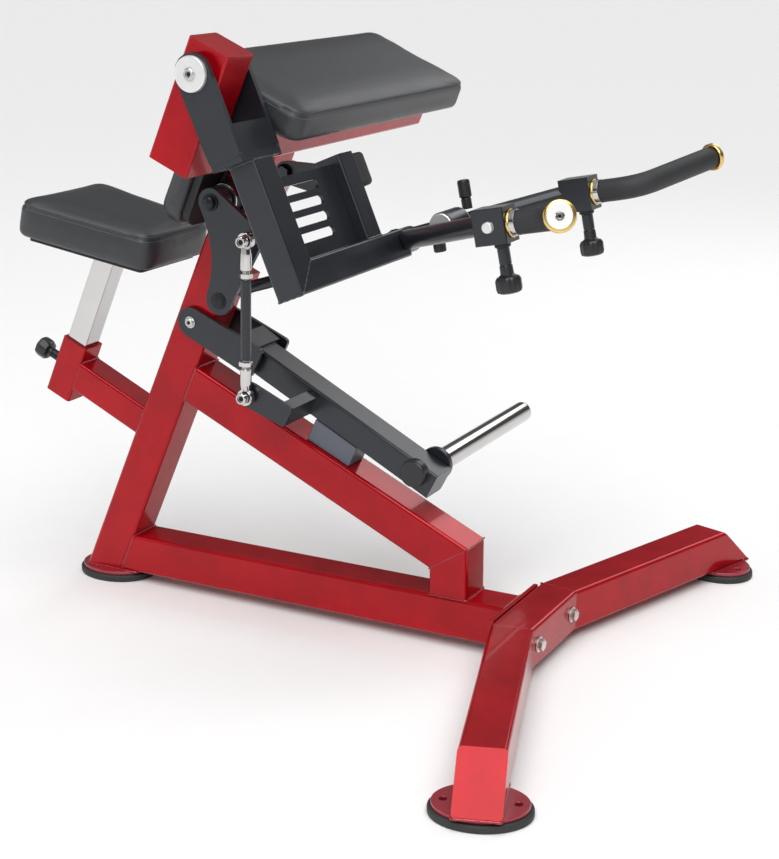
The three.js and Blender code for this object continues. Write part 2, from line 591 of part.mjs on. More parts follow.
function addHandleYoke() {
  const hub = cylinder(HUB, AXIS_Y, 23, CROSS_END_Y + GAP, 30, 24);
  addPart('yoke_hub', join(hub, yokeWeb(), yokeBarrel()), BLACK);
  const hubRoom = cylinder(HUB, AXIS_Y, 23 + GAP, -60, 60);
  for (const [side, name] of [[-1, 'near'], [1, 'far']]) {
    const blockSolid = handleBlock(side, 0);
    const blockRoom = handleBlock(side, GAP);
    const from = V(HUB.x + 4, side * 14, HUB.z + 4);
    const to = V(BLOCK_CENTRE[0] - 20, side * 176, BLOCK_CENTRE[2] - 2);
    const axis = to.clone().sub(from);
    const tube = cylinder(from, axis, 17, 0, axis.length(), 24);
    const otherSide = new THREE.BoxGeometry(800, 400, 400).translate(0, -side * (200 - GAP), HUB.z);
    addPart(`yoke_tube_${name}`, cut(tube, hubRoom, crossRoom(), blockRoom, toSolid(otherSide)), BLACK);
    const bore = cylinder(ringCentre(side), grip.along, 12.6, -80, 10, 24);
    const bolt = boltHead(V(BLOCK_CENTRE[0], side * (BLOCK_CENTRE[1] + 22), BLOCK_CENTRE[2]), side, 8);
    const barrel = turned(pinBase(side), pinDown, [[0, -2], [13, -2], [13, 6], [10, 7], [10, 34], [0, 34]], 20);
    const pinHole = cylinder(pinBase(side), pinDown, 5.4, -16, 60, 20);
    addPart(`handle_block_${name}`, cut(join(blockSolid, bolt, barrel), bore, pinHole), BLACK);
    addHandle(side, name);
    addPart(`grip_pin_${name}`, turned(pinBase(side), pinDown, pinKnob, 20), PLASTIC);
  }
  const peg = [[0, 3], [9, 3], [9, 22], [11, 24], [11, 52], [9.5, 54], [0, 54]];
  addPart('yoke_peg', turned(V(-214, 70, 777), grip.out, peg, 24), PLASTIC);
}

// Space kept free around the end of the arm's cross tube.
function crossRoom() {
  const [down, forward] = [[CROSS_TOP - GAP, ARM_BOTTOM + GAP], [ARM_BACK - GAP, ARM_FRONT + GAP]];
  return block(arm, down, [-200, CROSS_END_Y + GAP], forward);
}

function handleBlock(side, grow) {
  const centreY = side * BLOCK_CENTRE[1];
  const half = 23 + grow;
  return block(grip, [-28 - grow, 28 + grow], [centreY - half, centreY + half], [-29 - grow, 29 + grow]);
}

// Spring pin under a handle block.
const pinDown = grip.out.clone().negate();
const pinBase = (side) => grip.at(8, side * BLOCK_CENTRE[1], -29);
const pinKnob = [[0, -8], [5, -8], [5, 35], [10, 35.5], [11, 52], [20, 54], [21.5, 57], [21.5, 78], [19, 81],
  [0, 81]];

function ringCentre(side) {
  return grip.at(28, side * BLOCK_CENTRE[1], 0);
}

// Barrel between the two yoke tubes, with turned end faces.
function yokeBarrel() {
  const profile = [[0, -36], [20, -36], [23, -33], [23, 31], [20, 34], [0, 34]];
  return turned(V(-214, 0, 766), AXIS_Y, profile);
}

// Flat web in the plane of the two yoke tubes, cut clear of them and of the barrel.
function yokeWeb() {
  const slope = Math.atan2(BLOCK_CENTRE[2] - 2 - HUB.z - 4, BLOCK_CENTRE[0] - 20 - HUB.x - 4);
  const [rise, run] = [Math.sin(slope), Math.cos(slope)];
  const plane = slopedFrame(V(HUB.x + 4, 0, HUB.z + 4), V(run, 0, rise), V(-rise, 0, run));
  const sheet = block(plane, [0, 150], [-130, 130], [-3, 3]);
  const rooms = [crossRoom()];
  for (const side of [-1, 1]) {
    const from = V(HUB.x + 4, side * 14, HUB.z + 4);
    const to = V(BLOCK_CENTRE[0] - 20, side * 176, BLOCK_CENTRE[2] - 2);
    const axis = to.clone().sub(from);
    rooms.push(cylinder(from, axis, 17 + GAP, -20, axis.length(), 24));
    const wide = new THREE.BoxGeometry(600, 300, 300).translate(300, side * 150, 0);
    const turn = Math.atan2(side * 162, to.x - from.x);
    wide.rotateZ(turn).translate(from.x, from.y, from.z);
    rooms.push(toSolid(wide));
  }
  return cut(sheet, ...rooms);
}

// Path of a handle: forward out of its ring, then bent outwards.
function handlePath(side) {
  const start = ringCentre(side).addScaledVector(grip.along, -48);
  const corner = ringCentre(side).addScaledVector(grip.along, 82);
  const outward = V(0, side * Math.cos(SWEEP), 0).addScaledVector(grip.along, Math.sin(SWEEP));
  outward.addScaledVector(grip.out, RISE).normalize();
  const end = corner.clone().addScaledVector(outward, REACH);
  const bend = 40;
  const path = new THREE.CurvePath();
  const a = corner.clone().addScaledVector(grip.along, -bend);
  const b = corner.clone().addScaledVector(outward, bend);
  path.add(new THREE.LineCurve3(start, a));
  path.add(new THREE.QuadraticBezierCurve3(a, corner, b));
  path.add(new THREE.LineCurve3(b, end));
  return { path, start, a, corner, b, end, outward };
}

function sweep(points, radius, sides) {
  const curve = new THREE.CatmullRomCurve3(points, false, 'centripetal');
  const circle = new THREE.Shape();
  circle.absarc(0, 0, radius, 0, Math.PI * 2);
  const options = { steps: 18, curveSegments: sides / 4, bevelEnabled: false, extrudePath: curve };
  return toSolid(new THREE.ExtrudeGeometry(circle, options));
}

// Points along the handle between two distances measured from the ring face.
function handlePoints(side, from, to) {
  const { a, corner, b, end } = handlePath(side);
  const points = [ringCentre(side).addScaledVector(grip.along, from)];
  if (from < 20) {
    points.push(ringCentre(side).addScaledVector(grip.along, 24));
  }
  for (const t of [0, 0.25, 0.5, 0.75, 1]) {
    points.push(new THREE.QuadraticBezierCurve3(a, corner, b).getPoint(t));
  }
  points.push(b.clone().lerp(end, 0.5));
  points.push(end.clone().addScaledVector(end.clone().sub(b).normalize(), to));
  return points;
}

function addHandle(side, name) {
  const core = sweep(handlePoints(side, 1, 0), CORE_R, 16);
  const shank = cylinder(ringCentre(side), grip.along, 12.2, -50, 4);
  const bushing = [[0, GAP], [22, GAP], [22, 3], [21, 3.5], [21, 13.8], [16, 13.8], [16, 5], [0, 5]];
  const collar = turned(ringCentre(side), grip.along, bushing);
  addPart(`handle_bar_${name}`, join(core, shank, collar), CHROME);
  const sleeve = sweep(handlePoints(side, 0, -1), GRIP_R, 20);
  const room = sweep(handlePoints(side, -6, 12), CORE_R + 1, 16);
  const beforeRing = grip.along.toArray();
  const rubber = cut(sleeve, room).trimByPlane(beforeRing, ringCentre(side).dot(grip.along) + 14.5);
  addPart(`grip_${name}`, rubber, RUBBER);
  const { end, outward } = handlePath(side);
  const rim = [[0, GAP], [23, GAP], [24.5, 2], [24.5, 8], [22, 10.5], [15, 11.5], [13, 9.5]];
  const cap = [...rim, [8, 9.5], [7.5, 12.5], [0, 12.5]];
  addPart(`end_cap_${name}`, turned(end, outward, cap, 28), CHROME);
}

// ---------------------------------------------------------------- rocker and links
function addLinkage() {
  const outline = new THREE.Shape();
  outline.absarc(ROCKER_C[0], ROCKER_C[1], 25, 1.05, Math.PI + 0.25);
  outline.quadraticCurveTo(-606, 694, ROCKER_D[0] - 26, ROCKER_D[1] + 6);
  outline.absarc(ROCKER_D[0], ROCKER_D[1], 26, Math.PI - 0.2, Math.PI * 2 - 0.15);
  outline.lineTo(ROCKER_E[0] + 18, ROCKER_E[1] - 12);
  outline.absarc(ROCKER_E[0], ROCKER_E[1], 22, -0.55, 1.0);
  outline.closePath();
  const centre = V(ROCKER_C[0], 0, ROCKER_C[1]);
  const sheet = plate(world, outline, -118, -108);
  const boss = cylinder(centre, AXIS_Y, 24, -112, -84);
  const holes = [
    cylinder(centre, AXIS_Y, 12.6, -150, -50),
    cylinder(V(ROCKER_D[0], 0, ROCKER_D[1]), AXIS_Y, 8.4, -150, -50),
    cylinder(V(ROCKER_E[0], 0, ROCKER_E[1]), AXIS_Y, 8.4, -150, -50),
  ];
  addPart('rocker_plate', cut(join(sheet, boss), ...holes), BLACK);
  const hub = [[0, GAP], [34, GAP], [34, 8], [27, 9], [27, 44], [12, 44.5], [12, 81], [0, 81]];
  const shaft = turned(V(centre.x, -38, centre.z), V(0, -1, 0), hub, 24);
  addPart('rocker_hub', join(shaft, boltHead(V(centre.x, -118 - GAP, centre.z), -1, 13)), ZINC);
  addPart('drive_pin', pin(ROCKER_D, -118 - GAP, -76), ZINC);
  addPart('drive_link', driveLink(), BLACK);
  addPart('tie_pin', tiePin(), CHROME);
  addPart('tie_rod', tieRod(), BLACK);
}

function pin([x, z], headY, tipY) {
  const head = boltHead(V(x, headY, z), -1, 12, LOW_HEAD);
  return join(head, cylinder(V(x, 0, z), AXIS_Y, 8, headY - 1, tipY, 24));
}

// Rod with an eye at each end, lying at `y`; `bore` is left open at the first end.
function eyedRod([x0, z0], [x1, z1], y, eyeR, eyeHalf, rodR, bores) {
  const [from, to] = [V(x0, y, z0), V(x1, y, z1)];
  const axis = to.clone().sub(from);
  const length = axis.length();
  const eyes = [from, to].map((p) => cylinder(p, AXIS_Y, eyeR, -eyeHalf, eyeHalf));
  const half = [[0, 8], [8, 8], [8, 62], [12, 62], [12, 70], [rodR, 71]];
  const profile = [...half, ...half.map(([r, h]) => [r, length - h]).reverse()];
  const solid = join(...eyes, turned(from, axis, profile, 24));
  return cut(solid, ...bores.map(([p, r]) => cylinder(V(p[0], y, p[1]), AXIS_Y, r, -60, 60, 24)));
}

function driveLink() {
  return eyedRod(ROCKER_D, CRANK_B, LINK_Y, 17, 9.5, 11, [[ROCKER_D, 8.5], [CRANK_B, 7]]);
}

// The lower eye carries its own bolt, which stops short of the plate it fastens to.
function tieRod() {
  const rod = eyedRod(ROCKER_E, LEVER_G, TIE_Y, 15.5, 8.5, 9.3, [[ROCKER_E, 7]]);
  const centre = V(LEVER_G[0], 0, LEVER_G[1]);
  const shaft = cylinder(centre, AXIS_Y, 6.6, -152, -125.2, 16);
  return join(rod, shaft, cylinder(centre, AXIS_Y, 11, -154, -143.6, 16));
}

function tiePin() {
  const centre = V(ROCKER_E[0], 0, ROCKER_E[1]);
  const spacer = ring(centre, AXIS_Y, 6, 11, -126.2, -118.4, 24);
  const shaft = cylinder(centre, AXIS_Y, 6.6, -152, -108, 24);
  const head = cylinder(centre, AXIS_Y, 11, -156, -144.6, 24);
  return join(spacer, shaft, head);
}

// ---------------------------------------------------------------- weight lever
function addLever() {
  const hole = cylinder(pivotL, AXIS_Y, LEVER_BORE, -100, 100, 24);
  const outline = hullOutline([[0, 0, 28], [150, -15, 6], [148, 31, 8]]);
  const cheeks = join(plate(lever, outline, -49, -41), plate(lever, outline, 41, 49));
  const web = block(lever, [96, 140 - GAP], [-44, 44], [-17, 35]);
  const tubeRoom = block(lever, [140 - GAP, 200], [-30 - GAP, 30 + GAP], [-21 - GAP, 29 + GAP]);
  addPart('lever_yoke', cut(join(cheeks, web), hole, tubeRoom), BLACK);
  addPart('lever_tube', bar(lever.at(140, 0, 4), lever.at(LEVER_END, 0, 4), 60, 50, 5), BLACK);
  addPart('lever_outrigger', outrigger(), BLACK);
  const heads = [-1, 1].map((side) => boltHead(pivotL.clone().setY(side * (49 + GAP)), side, 10));
  addPart('lever_axle', join(cylinder(pivotL, AXIS_Y, 10, -50, 50, 24), ...heads), ZINC);
  const hornAt = lever.at(519, 0, 14);
  const horn = [[0, GAP], [31, GAP], [31, 12], [20.3, 12], [20.3, 384], [17, 394], [10, 399], [0, 400]];
  addPart('weight_horn', turned(hornAt.clone().setY(30), AXIS_Y, horn), CHROME);
  const boss = [[0, GAP], [25, GAP], [25, 14], [22, 17], [0, 18]];
  addPart('lever_end_boss', turned(lever.at(512, -30, 12), V(0, -1, 0), boss), PLASTIC);
}

function outrigger() {
  const rel = V(LEVER_G[0], 0, LEVER_G[1]).sub(pivotL);
  const [t, h] = [rel.dot(lever.along), rel.dot(lever.out)];
  const outline = hullOutline([[t, h, 24], [280, -15, 5], [280, 16, 5]]);
  const face = plate(lever, outline, -124.6, -116.6);
  const web = block(lever, [262, 284], [-118, -30 - GAP], [-19, 20]);
  return join(face, web);
}

// ---------------------------------------------------------------- stops
function addStops() {
  const [t0, t1] = [-590, -494];
  const rest = block(braceFrame, [t0, t1], [-28, 28], [BRACE_H + TUBE / 2 + GAP, BRACE_H + TUBE / 2 + 90]);
  const underLever = block(lever, [-400, 900], [-60, 60], [4 - 25 - 1.2, 400]);
  addPart('lever_bumper', cut(rest, underLever), RUBBER);
  const bracket = block(lean, [UPRIGHT_W + TUBE / 2 + GAP, -824], [-76, 34], [284, 330]);
  const from = lean.at(-823.5, -60, 307);
  const tip = arm.at(350, -60, ARM_BACK - 2.6);
  const axis = tip.clone().sub(from);
  const length = axis.length();
  addPart('arm_stop_bracket', cut(bracket, cylinder(from, axis, 16.4, 0, 60, 20)), RED);
  const foot = [[0, GAP], [16, GAP], [16, 10], [11, 11]];
  const profile = [...foot, [11, length - 18], [13, length - 17], [13, length], [0, length]];
  addPart('arm_stop_rod', turned(from, axis, profile, 20), BLACK);
}

addBase();
addColumn();
addSeat();
addPads();
addArm();
addHandleYoke();
addLinkage();
addLever();
addStops();

export default model;
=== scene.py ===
"""Looks of a plate-loaded seated arm-curl machine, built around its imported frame.

Millimetres in the numbers below, metres in Blender. +X runs forward from the seat to the
handles, +Y is the weight horn's side, and the floor is z = 0.
"""
from math import atan2, cos, hypot, pi, radians, sin

import bmesh
import bpy
from mathutils import Matrix, Vector
from mathutils.bvhtree import BVHTree


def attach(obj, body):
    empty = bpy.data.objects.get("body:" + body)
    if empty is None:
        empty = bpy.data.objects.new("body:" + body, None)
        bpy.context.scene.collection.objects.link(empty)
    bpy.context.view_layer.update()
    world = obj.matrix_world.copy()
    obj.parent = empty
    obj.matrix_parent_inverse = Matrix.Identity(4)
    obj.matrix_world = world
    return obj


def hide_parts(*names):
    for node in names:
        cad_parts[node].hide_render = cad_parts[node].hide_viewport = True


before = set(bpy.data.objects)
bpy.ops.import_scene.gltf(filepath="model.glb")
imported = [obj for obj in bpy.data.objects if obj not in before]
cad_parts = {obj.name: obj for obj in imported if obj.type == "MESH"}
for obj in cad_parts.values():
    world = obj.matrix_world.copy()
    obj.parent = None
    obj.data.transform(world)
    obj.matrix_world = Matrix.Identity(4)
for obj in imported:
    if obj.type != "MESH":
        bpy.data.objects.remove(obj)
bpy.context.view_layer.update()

# ---------------------------------------------------------------- driving dimensions
ORIGIN_X = 463.96
TUBE = 76
FLOOR_GAP = 21
BASE_TOP = FLOOR_GAP + TUBE
LEAN = radians(24)
UPRIGHT_W = -881.5
BEAM_W = -832
BRACE_TILT = radians(25.15)
SEAT_W = -1113
SPLAY = radians(18.7)
SEAT_TILT = radians(10.3)
ARM_TILT = radians(22.75)
LEVER_TILT = radians(27.6)
HANDLE_PITCH = radians(11)
GRIP_R = 19.8
REACH = 0.186
SWEEP = radians(24)
RISE = 0.1
HUB = (-305, 726)
HANDLE_Y = 177.5
PIN_BORE = 5.4
ROCKER_FACE = -118.3
ROD_BOLT_Y = -144.4
SHARP_ANGLE = 32
SIDES = ((-1, "near"), (1, "far"))


def P(x, y, z):
    """A point in metres from millimetres, with the origin under the middle of the outline."""
    return Vector(((x + ORIGIN_X) / 1000, y / 1000, z / 1000))


class Slope:
    """Two directions in the XZ plane through an origin: along, and out a quarter turn from it."""

    def __init__(self, x, z, along, out):
        self.origin = P(x, 0, z)
        self.along = Vector((along[0], 0, along[1]))
        self.out = Vector((out[0], 0, out[1]))

    def at(self, a, y, b):
        point = self.origin + (self.along * a + self.out * b) / 1000
        point.y = y / 1000
        return point


Y = Vector((0, 1, 0))
lean = Slope(0, 0, (cos(LEAN), -sin(LEAN)), (sin(LEAN), cos(LEAN)))
pivot_a = lean.at(BEAM_W, 0, 767)
pivot_l = lean.at(UPRIGHT_W, 0, 207)


def slope_at(point, along, out):
    return Slope(point.x * 1000 - ORIGIN_X, point.z * 1000, along, out)


arm = slope_at(pivot_a, (sin(ARM_TILT), -cos(ARM_TILT)), (cos(ARM_TILT), sin(ARM_TILT)))
lever = slope_at(pivot_l, (cos(LEVER_TILT), -sin(LEVER_TILT)), (sin(LEVER_TILT), cos(LEVER_TILT)))
seat = Slope(-909, 731, (cos(SEAT_TILT), -sin(SEAT_TILT)), (sin(SEAT_TILT), cos(SEAT_TILT)))
grip = Slope(-50, 803, (cos(HANDLE_PITCH), sin(HANDLE_PITCH)), (-sin(HANDLE_PITCH), cos(HANDLE_PITCH)))


# ---------------------------------------------------------------- materials
def shader(name, color, rough, metallic=0.0, **sockets):
    """A Principled material whose colour drifts a little and whose surface has a fine bump."""
    variation = sockets.pop("variation", 0.06)
    grain = sockets.pop("grain", 900)
    bump = sockets.pop("bump", 0.05)
    rough_spread = sockets.pop("rough_spread", 0.06)
    cells = sockets.pop("cells", False)
    stretch = sockets.pop("stretch", (1, 1, 1))
    material = bpy.data.materials.new(name)
    material.use_nodes = True
    nodes, links = material.node_tree.nodes, material.node_tree.links
    principled = nodes["Principled BSDF"]
    principled.inputs["Metallic"].default_value = metallic
    for socket, value in sockets.items():
        principled.inputs[socket.replace("_", " ")].default_value = value
    place = nodes.new("ShaderNodeTexCoord")
    mapping = nodes.new("ShaderNodeMapping")
    mapping.inputs["Scale"].default_value = stretch
    links.new(place.outputs["Object"], mapping.inputs["Vector"])
    slow = nodes.new("ShaderNodeTexNoise")
    slow.inputs["Scale"].default_value = 14
    slow.inputs["Detail"].default_value = 5
    links.new(mapping.outputs["Vector"], slow.inputs["Vector"])
    ramp = nodes.new("ShaderNodeValToRGB")
    ramp.color_ramp.elements[0].position = 0.3
    ramp.color_ramp.elements[1].position = 0.7
    ramp.color_ramp.elements[0].color = (*[c * (1 - variation) for c in color], 1)
    ramp.color_ramp.elements[1].color = (*[min(1, c * (1 + variation)) for c in color], 1)
    links.new(slow.outputs["Fac"], ramp.inputs["Fac"])
    links.new(ramp.outputs["Color"], principled.inputs["Base Color"])
    spread = nodes.new("ShaderNodeMapRange")
    spread.inputs["To Min"].default_value = max(0.02, rough - rough_spread)
    spread.inputs["To Max"].default_value = rough + rough_spread
    links.new(slow.outputs["Fac"], spread.inputs["Value"])
    links.new(spread.outputs["Result"], principled.inputs["Roughness"])
    fine = nodes.new("ShaderNodeTexVoronoi" if cells else "ShaderNodeTexNoise")
    fine.inputs["Scale"].default_value = grain
    links.new(mapping.outputs["Vector"], fine.inputs["Vector"])
    relief = nodes.new("ShaderNodeBump")
    relief.inputs["Strength"].default_value = bump
    relief.inputs["Distance"].default_value = 0.0006
    links.new(fine.outputs["Distance" if cells else "Fac"], relief.inputs["Height"])
    links.new(relief.outputs["Normal"], principled.inputs["Normal"])
    return material


RED = shader("red_paint", (0.36, 0.0008, 0.006), 0.2, 0.3, variation=0.14, grain=420, bump=0.06,
             Coat_Weight=0.3, Coat_Roughness=0.04, Specular_IOR_Level=0.2)
RED_PLATE = shader("red_plate", (0.3, 0.02, 0.035), 0.32, 0.3, variation=0.15, grain=300, bump=0.15,
                   Coat_Weight=0.6, Coat_Roughness=0.12)
RED_WELD = shader("red_weld", (0.3, 0.002, 0.01), 0.22, 0.3, variation=0.2, grain=240, bump=0.9,
                  Coat_Weight=0.6, Coat_Roughness=0.06)
BLACK = shader("black_paint", (0.013, 0.016, 0.022), 0.34, 0.25, variation=0.12, grain=700, bump=0.14,
               Coat_Weight=0.35, Coat_Roughness=0.25)
BLACK_WELD = shader("black_weld", (0.03, 0.034, 0.04), 0.26, 0.3, variation=0.2, grain=240, bump=0.9,
                    Coat_Weight=0.5, Coat_Roughness=0.15)
CHROME = shader("chrome", (0.6, 0.585, 0.575), 0.1, 1.0, variation=0.03, bump=0.02, rough_spread=0.03)
GOLD = shader("gold_edge", (0.83, 0.58, 0.2), 0.2, 1.0, variation=0.08, bump=0.04)
SILVER = shader("turned_silver", (0.8, 0.8, 0.8), 0.4, 0.75, variation=0.05, grain=1600, bump=0.12,
                stretch=(1, 1, 0.05))
ZINC = shader("zinc", (0.62, 0.62, 0.6), 0.28, 0.95, variation=0.12, grain=800, bump=0.15)
BOLT_BLACK = shader("black_oxide", (0.02, 0.022, 0.026), 0.36, 0.6, variation=0.15, grain=900, bump=0.15)
VINYL = shader("black_vinyl", (0.014, 0.016, 0.02), 0.46, variation=0.14, grain=620, bump=0.5,
               cells=True, rough_spread=0.05, Specular_IOR_Level=0.6,
               Coat_Weight=0.25, Coat_Roughness=0.4)
THREAD = shader("thread", (0.13, 0.14, 0.16), 0.55, variation=0.2, grain=2200, bump=0.5)
PLY = shader("pad_board", (0.012, 0.012, 0.014), 0.65, variation=0.2, grain=500, bump=0.3)
RUBBER = shader("foot_rubber", (0.022, 0.022, 0.022), 0.62, variation=0.15, grain=900, bump=0.35)
GRIP = shader("grip_rubber", (0.018, 0.019, 0.021), 0.55, variation=0.1, grain=1300, bump=0.45, cells=True)
BUMPER = shader("bumper_rubber", (0.1, 0.11, 0.14), 0.42, variation=0.1, grain=800, bump=0.2)
PLASTIC = shader("black_plastic", (0.014, 0.015, 0.017), 0.33, variation=0.1, grain=1100, bump=0.2)
HOLE = shader("hole_shadow", (0.004, 0.004, 0.004), 0.8, variation=0.2, grain=600, bump=0.1)
FLOOR = shader("floor", (0.86, 0.86, 0.86), 0.7, variation=0.004, grain=60, bump=0.01)


# ---------------------------------------------------------------- making pieces
def finish_mesh(obj, material, body, bevel=0.0, angle=SHARP_ANGLE):
    """Gives an object its material, smooth shading, softened edges and the body it rides on."""
    obj.data.materials.clear()
    obj.data.materials.append(material)
    obj.data.polygons.foreach_set("use_smooth", [True] * len(obj.data.polygons))
    if bevel:
        edge = obj.modifiers.new("soft_edges", "BEVEL")
        edge.width = bevel / 1000
        edge.segments = 2
        edge.limit_method = "ANGLE"
        edge.angle_limit = radians(angle)
        normals = obj.modifiers.new("even_faces", "WEIGHTED_NORMAL")
        normals.keep_sharp = False
    else:
        obj.data.set_sharp_from_angle(angle=radians(angle))
    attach(obj, body)
    return obj


def new_object(name, verts, faces):
    mesh = bpy.data.meshes.new(name)
    mesh.from_pydata([tuple(v) for v in verts], [], faces)
    mesh.validate()
    return link(name, mesh)


def axes_for(axis):
    axis = axis.normalized()
    helper = Vector((0, 0, 1)) if abs(axis.z) < 0.9 else Vector((1, 0, 0))
    side = axis.cross(helper).normalized()
    return side, axis.cross(side)


def turned(name, origin, axis, profile, material, body, bevel=0.4, steps=56):
    """A lathe-turned piece: profile of (radius, distance) pairs along an axis, in millimetres."""
    axis = axis.normalized()
    u, v = axes_for(axis)
    verts, faces = [], []
    rings = []
    for r, h in profile:
        centre = origin + axis * h / 1000
        if r < 1e-6:
            rings.append([len(verts)])
            verts.append(centre)
            continue
        rings.append(list(range(len(verts), len(verts) + steps)))
        for i in range(steps):
            turn = 2 * pi * i / steps
            verts.append(centre + (u * cos(turn) + v * sin(turn)) * r / 1000)
    for low, high in zip(rings, rings[1:]):
        for i in range(steps):
            j = (i + 1) % steps
            if len(low) == 1 and len(high) > 1:
                faces.append((low[0], high[j], high[i]))
            elif len(high) == 1 and len(low) > 1:
                faces.append((low[i], low[j], high[0]))
            elif len(low) > 1:
                faces.append((low[i], low[j], high[j], high[i]))
    obj = new_object(name, verts, faces)
    fix_normals(obj)
    return finish_mesh(obj, material, body, bevel)


def fix_normals(obj):
    bm = bmesh.new()
    bm.from_mesh(obj.data)
    bmesh.ops.recalc_face_normals(bm, faces=bm.faces)
    bm.to_mesh(obj.data)
    bm.free()


def hexagon(name, origin, axis, across, h0, h1, material, body):
    """A chamfered six-sided nut or bolt head."""
    axis = axis.normalized()
    u, v = axes_for(axis)
    radius = across / 2 / cos(pi / 6)
    verts = []
    for h, r in ((h0, radius), (h1 - 1.2, radius), (h1, radius * 0.88)):
        for i in range(6):
            a = 0.2 + i * pi / 3
            verts.append(origin + axis * h / 1000 + (u * cos(a) + v * sin(a)) * r / 1000)
    faces = [tuple(range(5, -1, -1)), tuple(range(12, 18))]
    for k in (0, 6):
        for i in range(6):
            faces.append((k + i, k + (i + 1) % 6, k + 6 + (i + 1) % 6, k + 6 + i))
    obj = new_object(name, verts, faces)
    fix_normals(obj)
    return finish_mesh(obj, material, body, 0.5, angle=20)


def link(name, data):
    """A new object with this data, in the scene."""
    obj = bpy.data.objects.new(name, data)
    bpy.context.scene.collection.objects.link(obj)
    return obj


def evaluated_mesh(obj):
    """A new mesh of the object with its modifiers, or its curve settings, worked in."""
    bpy.context.view_layer.update()
    return bpy.data.meshes.new_from_object(obj.evaluated_get(bpy.context.evaluated_depsgraph_get()))


def bake(obj):
    """Replaces the object's mesh by its shape with the modifiers applied."""
    mesh = evaluated_mesh(obj)
    obj.modifiers.clear()
    obj.data = mesh


def curve_to_mesh(name, curve):
    """A curve's shape as a plain mesh object, so that its materials and bevels behave like the rest."""
    holder = link(name + "_path", curve)
    mesh = evaluated_mesh(holder)
    bpy.data.objects.remove(holder)
    return link(name, mesh)


def tube(name, points, radius, material, body, sides):
    """A round bar along a smooth curve through points in metres."""
    curve = bpy.data.curves.new(name + "_path", "CURVE")
    curve.dimensions = "3D"
    curve.bevel_depth = radius / 1000
    curve.bevel_resolution = sides // 2
    curve.use_fill_caps = True
    spline = curve.splines.new("BEZIER")
    spline.bezier_points.add(len(points) - 1)
    for knot, point in zip(spline.bezier_points, points):
        knot.co = point
        knot.handle_left_type = knot.handle_right_type = "AUTO"
    spline.resolution_u = 12
    return finish_mesh(curve_to_mesh(name, curve), material, body, angle=50)


def flat_plate(name, outline, holes, matrix, depth, material, body, bevel):
    """A plate with rounded edges: outline and holes in millimetres, depth along the matrix's z."""
    curve = bpy.data.curves.new(name + "_outline", "CURVE")
    curve.dimensions = "2D"
    curve.fill_mode = "BOTH"
    curve.extrude = (depth / 2 - bevel) / 1000
    curve.bevel_depth = bevel / 1000
    curve.bevel_resolution = 2
    curve.offset = -bevel / 1000
    for loop in [outline, *holes]:
        spline = curve.splines.new("POLY")
        spline.points.add(len(loop) - 1)
        for knot, (x, y) in zip(spline.points, loop):
            knot.co = (x / 1000, y / 1000, 0, 1)
        spline.use_cyclic_u = True
    obj = curve_to_mesh(name, curve)
    obj.data.transform(matrix @ Matrix.Translation((0, 0, depth / 2000)))
    return finish_mesh(obj, material, body, angle=40)


def arc(x, y, r, a0, a1, steps=10):
    return [(x + r * cos(a0 + (a1 - a0) * i / steps), y + r * sin(a0 + (a1 - a0) * i / steps))
            for i in range(steps + 1)]


def hull(discs, steps=40):
    """Convex outline around (x, y, radius) discs."""
    points = sorted({(round(px, 4), round(py, 4)) for x, y, r in discs
                     for px, py in arc(x, y, r, 0, 2 * pi, steps)})

    def half(ordered):
        chain = []
        for p in ordered:
            while len(chain) > 1 and cross2(chain[-2], chain[-1], p) <= 1e-7:
                chain.pop()
            chain.append(p)
        return chain[:-1]

    return half(points) + half(points[::-1])


def cross2(a, b, c):
    return (b[0] - a[0]) * (c[1] - a[1]) - (b[1] - a[1]) * (c[0] - a[0])


def axes_matrix(origin, x, y):
    z = x.cross(y)
    rows = [(x[i], y[i], z[i], origin[i]) for i in range(3)]
    return Matrix((*rows, (0, 0, 0, 1)))


def side_matrix(slope, y):
    """Draws an outline in a slope's plane; the plate's thickness then runs towards +Y from y."""
    flip = slope.along.cross(slope.out).y < 0
    origin = slope.at(0, y, 0)
    if flip:
        return axes_matrix(origin, slope.out, slope.along), True
    return axes_matrix(origin, slope.along, slope.out), False


def side_plate(name, slope, outline, y0, y1, material, body, bevel):
    """A solid plate that lies in a slope's plane, from y0 to y1."""
    matrix, swapped = side_matrix(slope, y0)
    if swapped:
        outline = [(b, a) for a, b in outline]
    return flat_plate(name, outline, [], matrix, y1 - y0, material, body, bevel)


def keep(node, material, bevel, segments=2):
    """Gives a CAD node that stays its material and softly rounded edges."""
    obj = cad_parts[node]
    if "custom_normal" in obj.data.attributes:
        obj.data.attributes.remove(obj.data.attributes["custom_normal"])
    weld = obj.modifiers.new("weld", "WELD")
    weld.merge_threshold = 2e-5
    obj.data.materials.clear()
    obj.data.materials.append(material)
    obj.data.polygons.foreach_set("use_smooth", [True] * len(obj.data.polygons))
    edge = obj.modifiers.new("soft_edges", "BEVEL")
    edge.width = bevel / 1000
    edge.segments = segments
    edge.limit_method = "ANGLE"
    edge.angle_limit = radians(SHARP_ANGLE)
    obj.modifiers.new("even_faces", "WEIGHTED_NORMAL")
    return obj


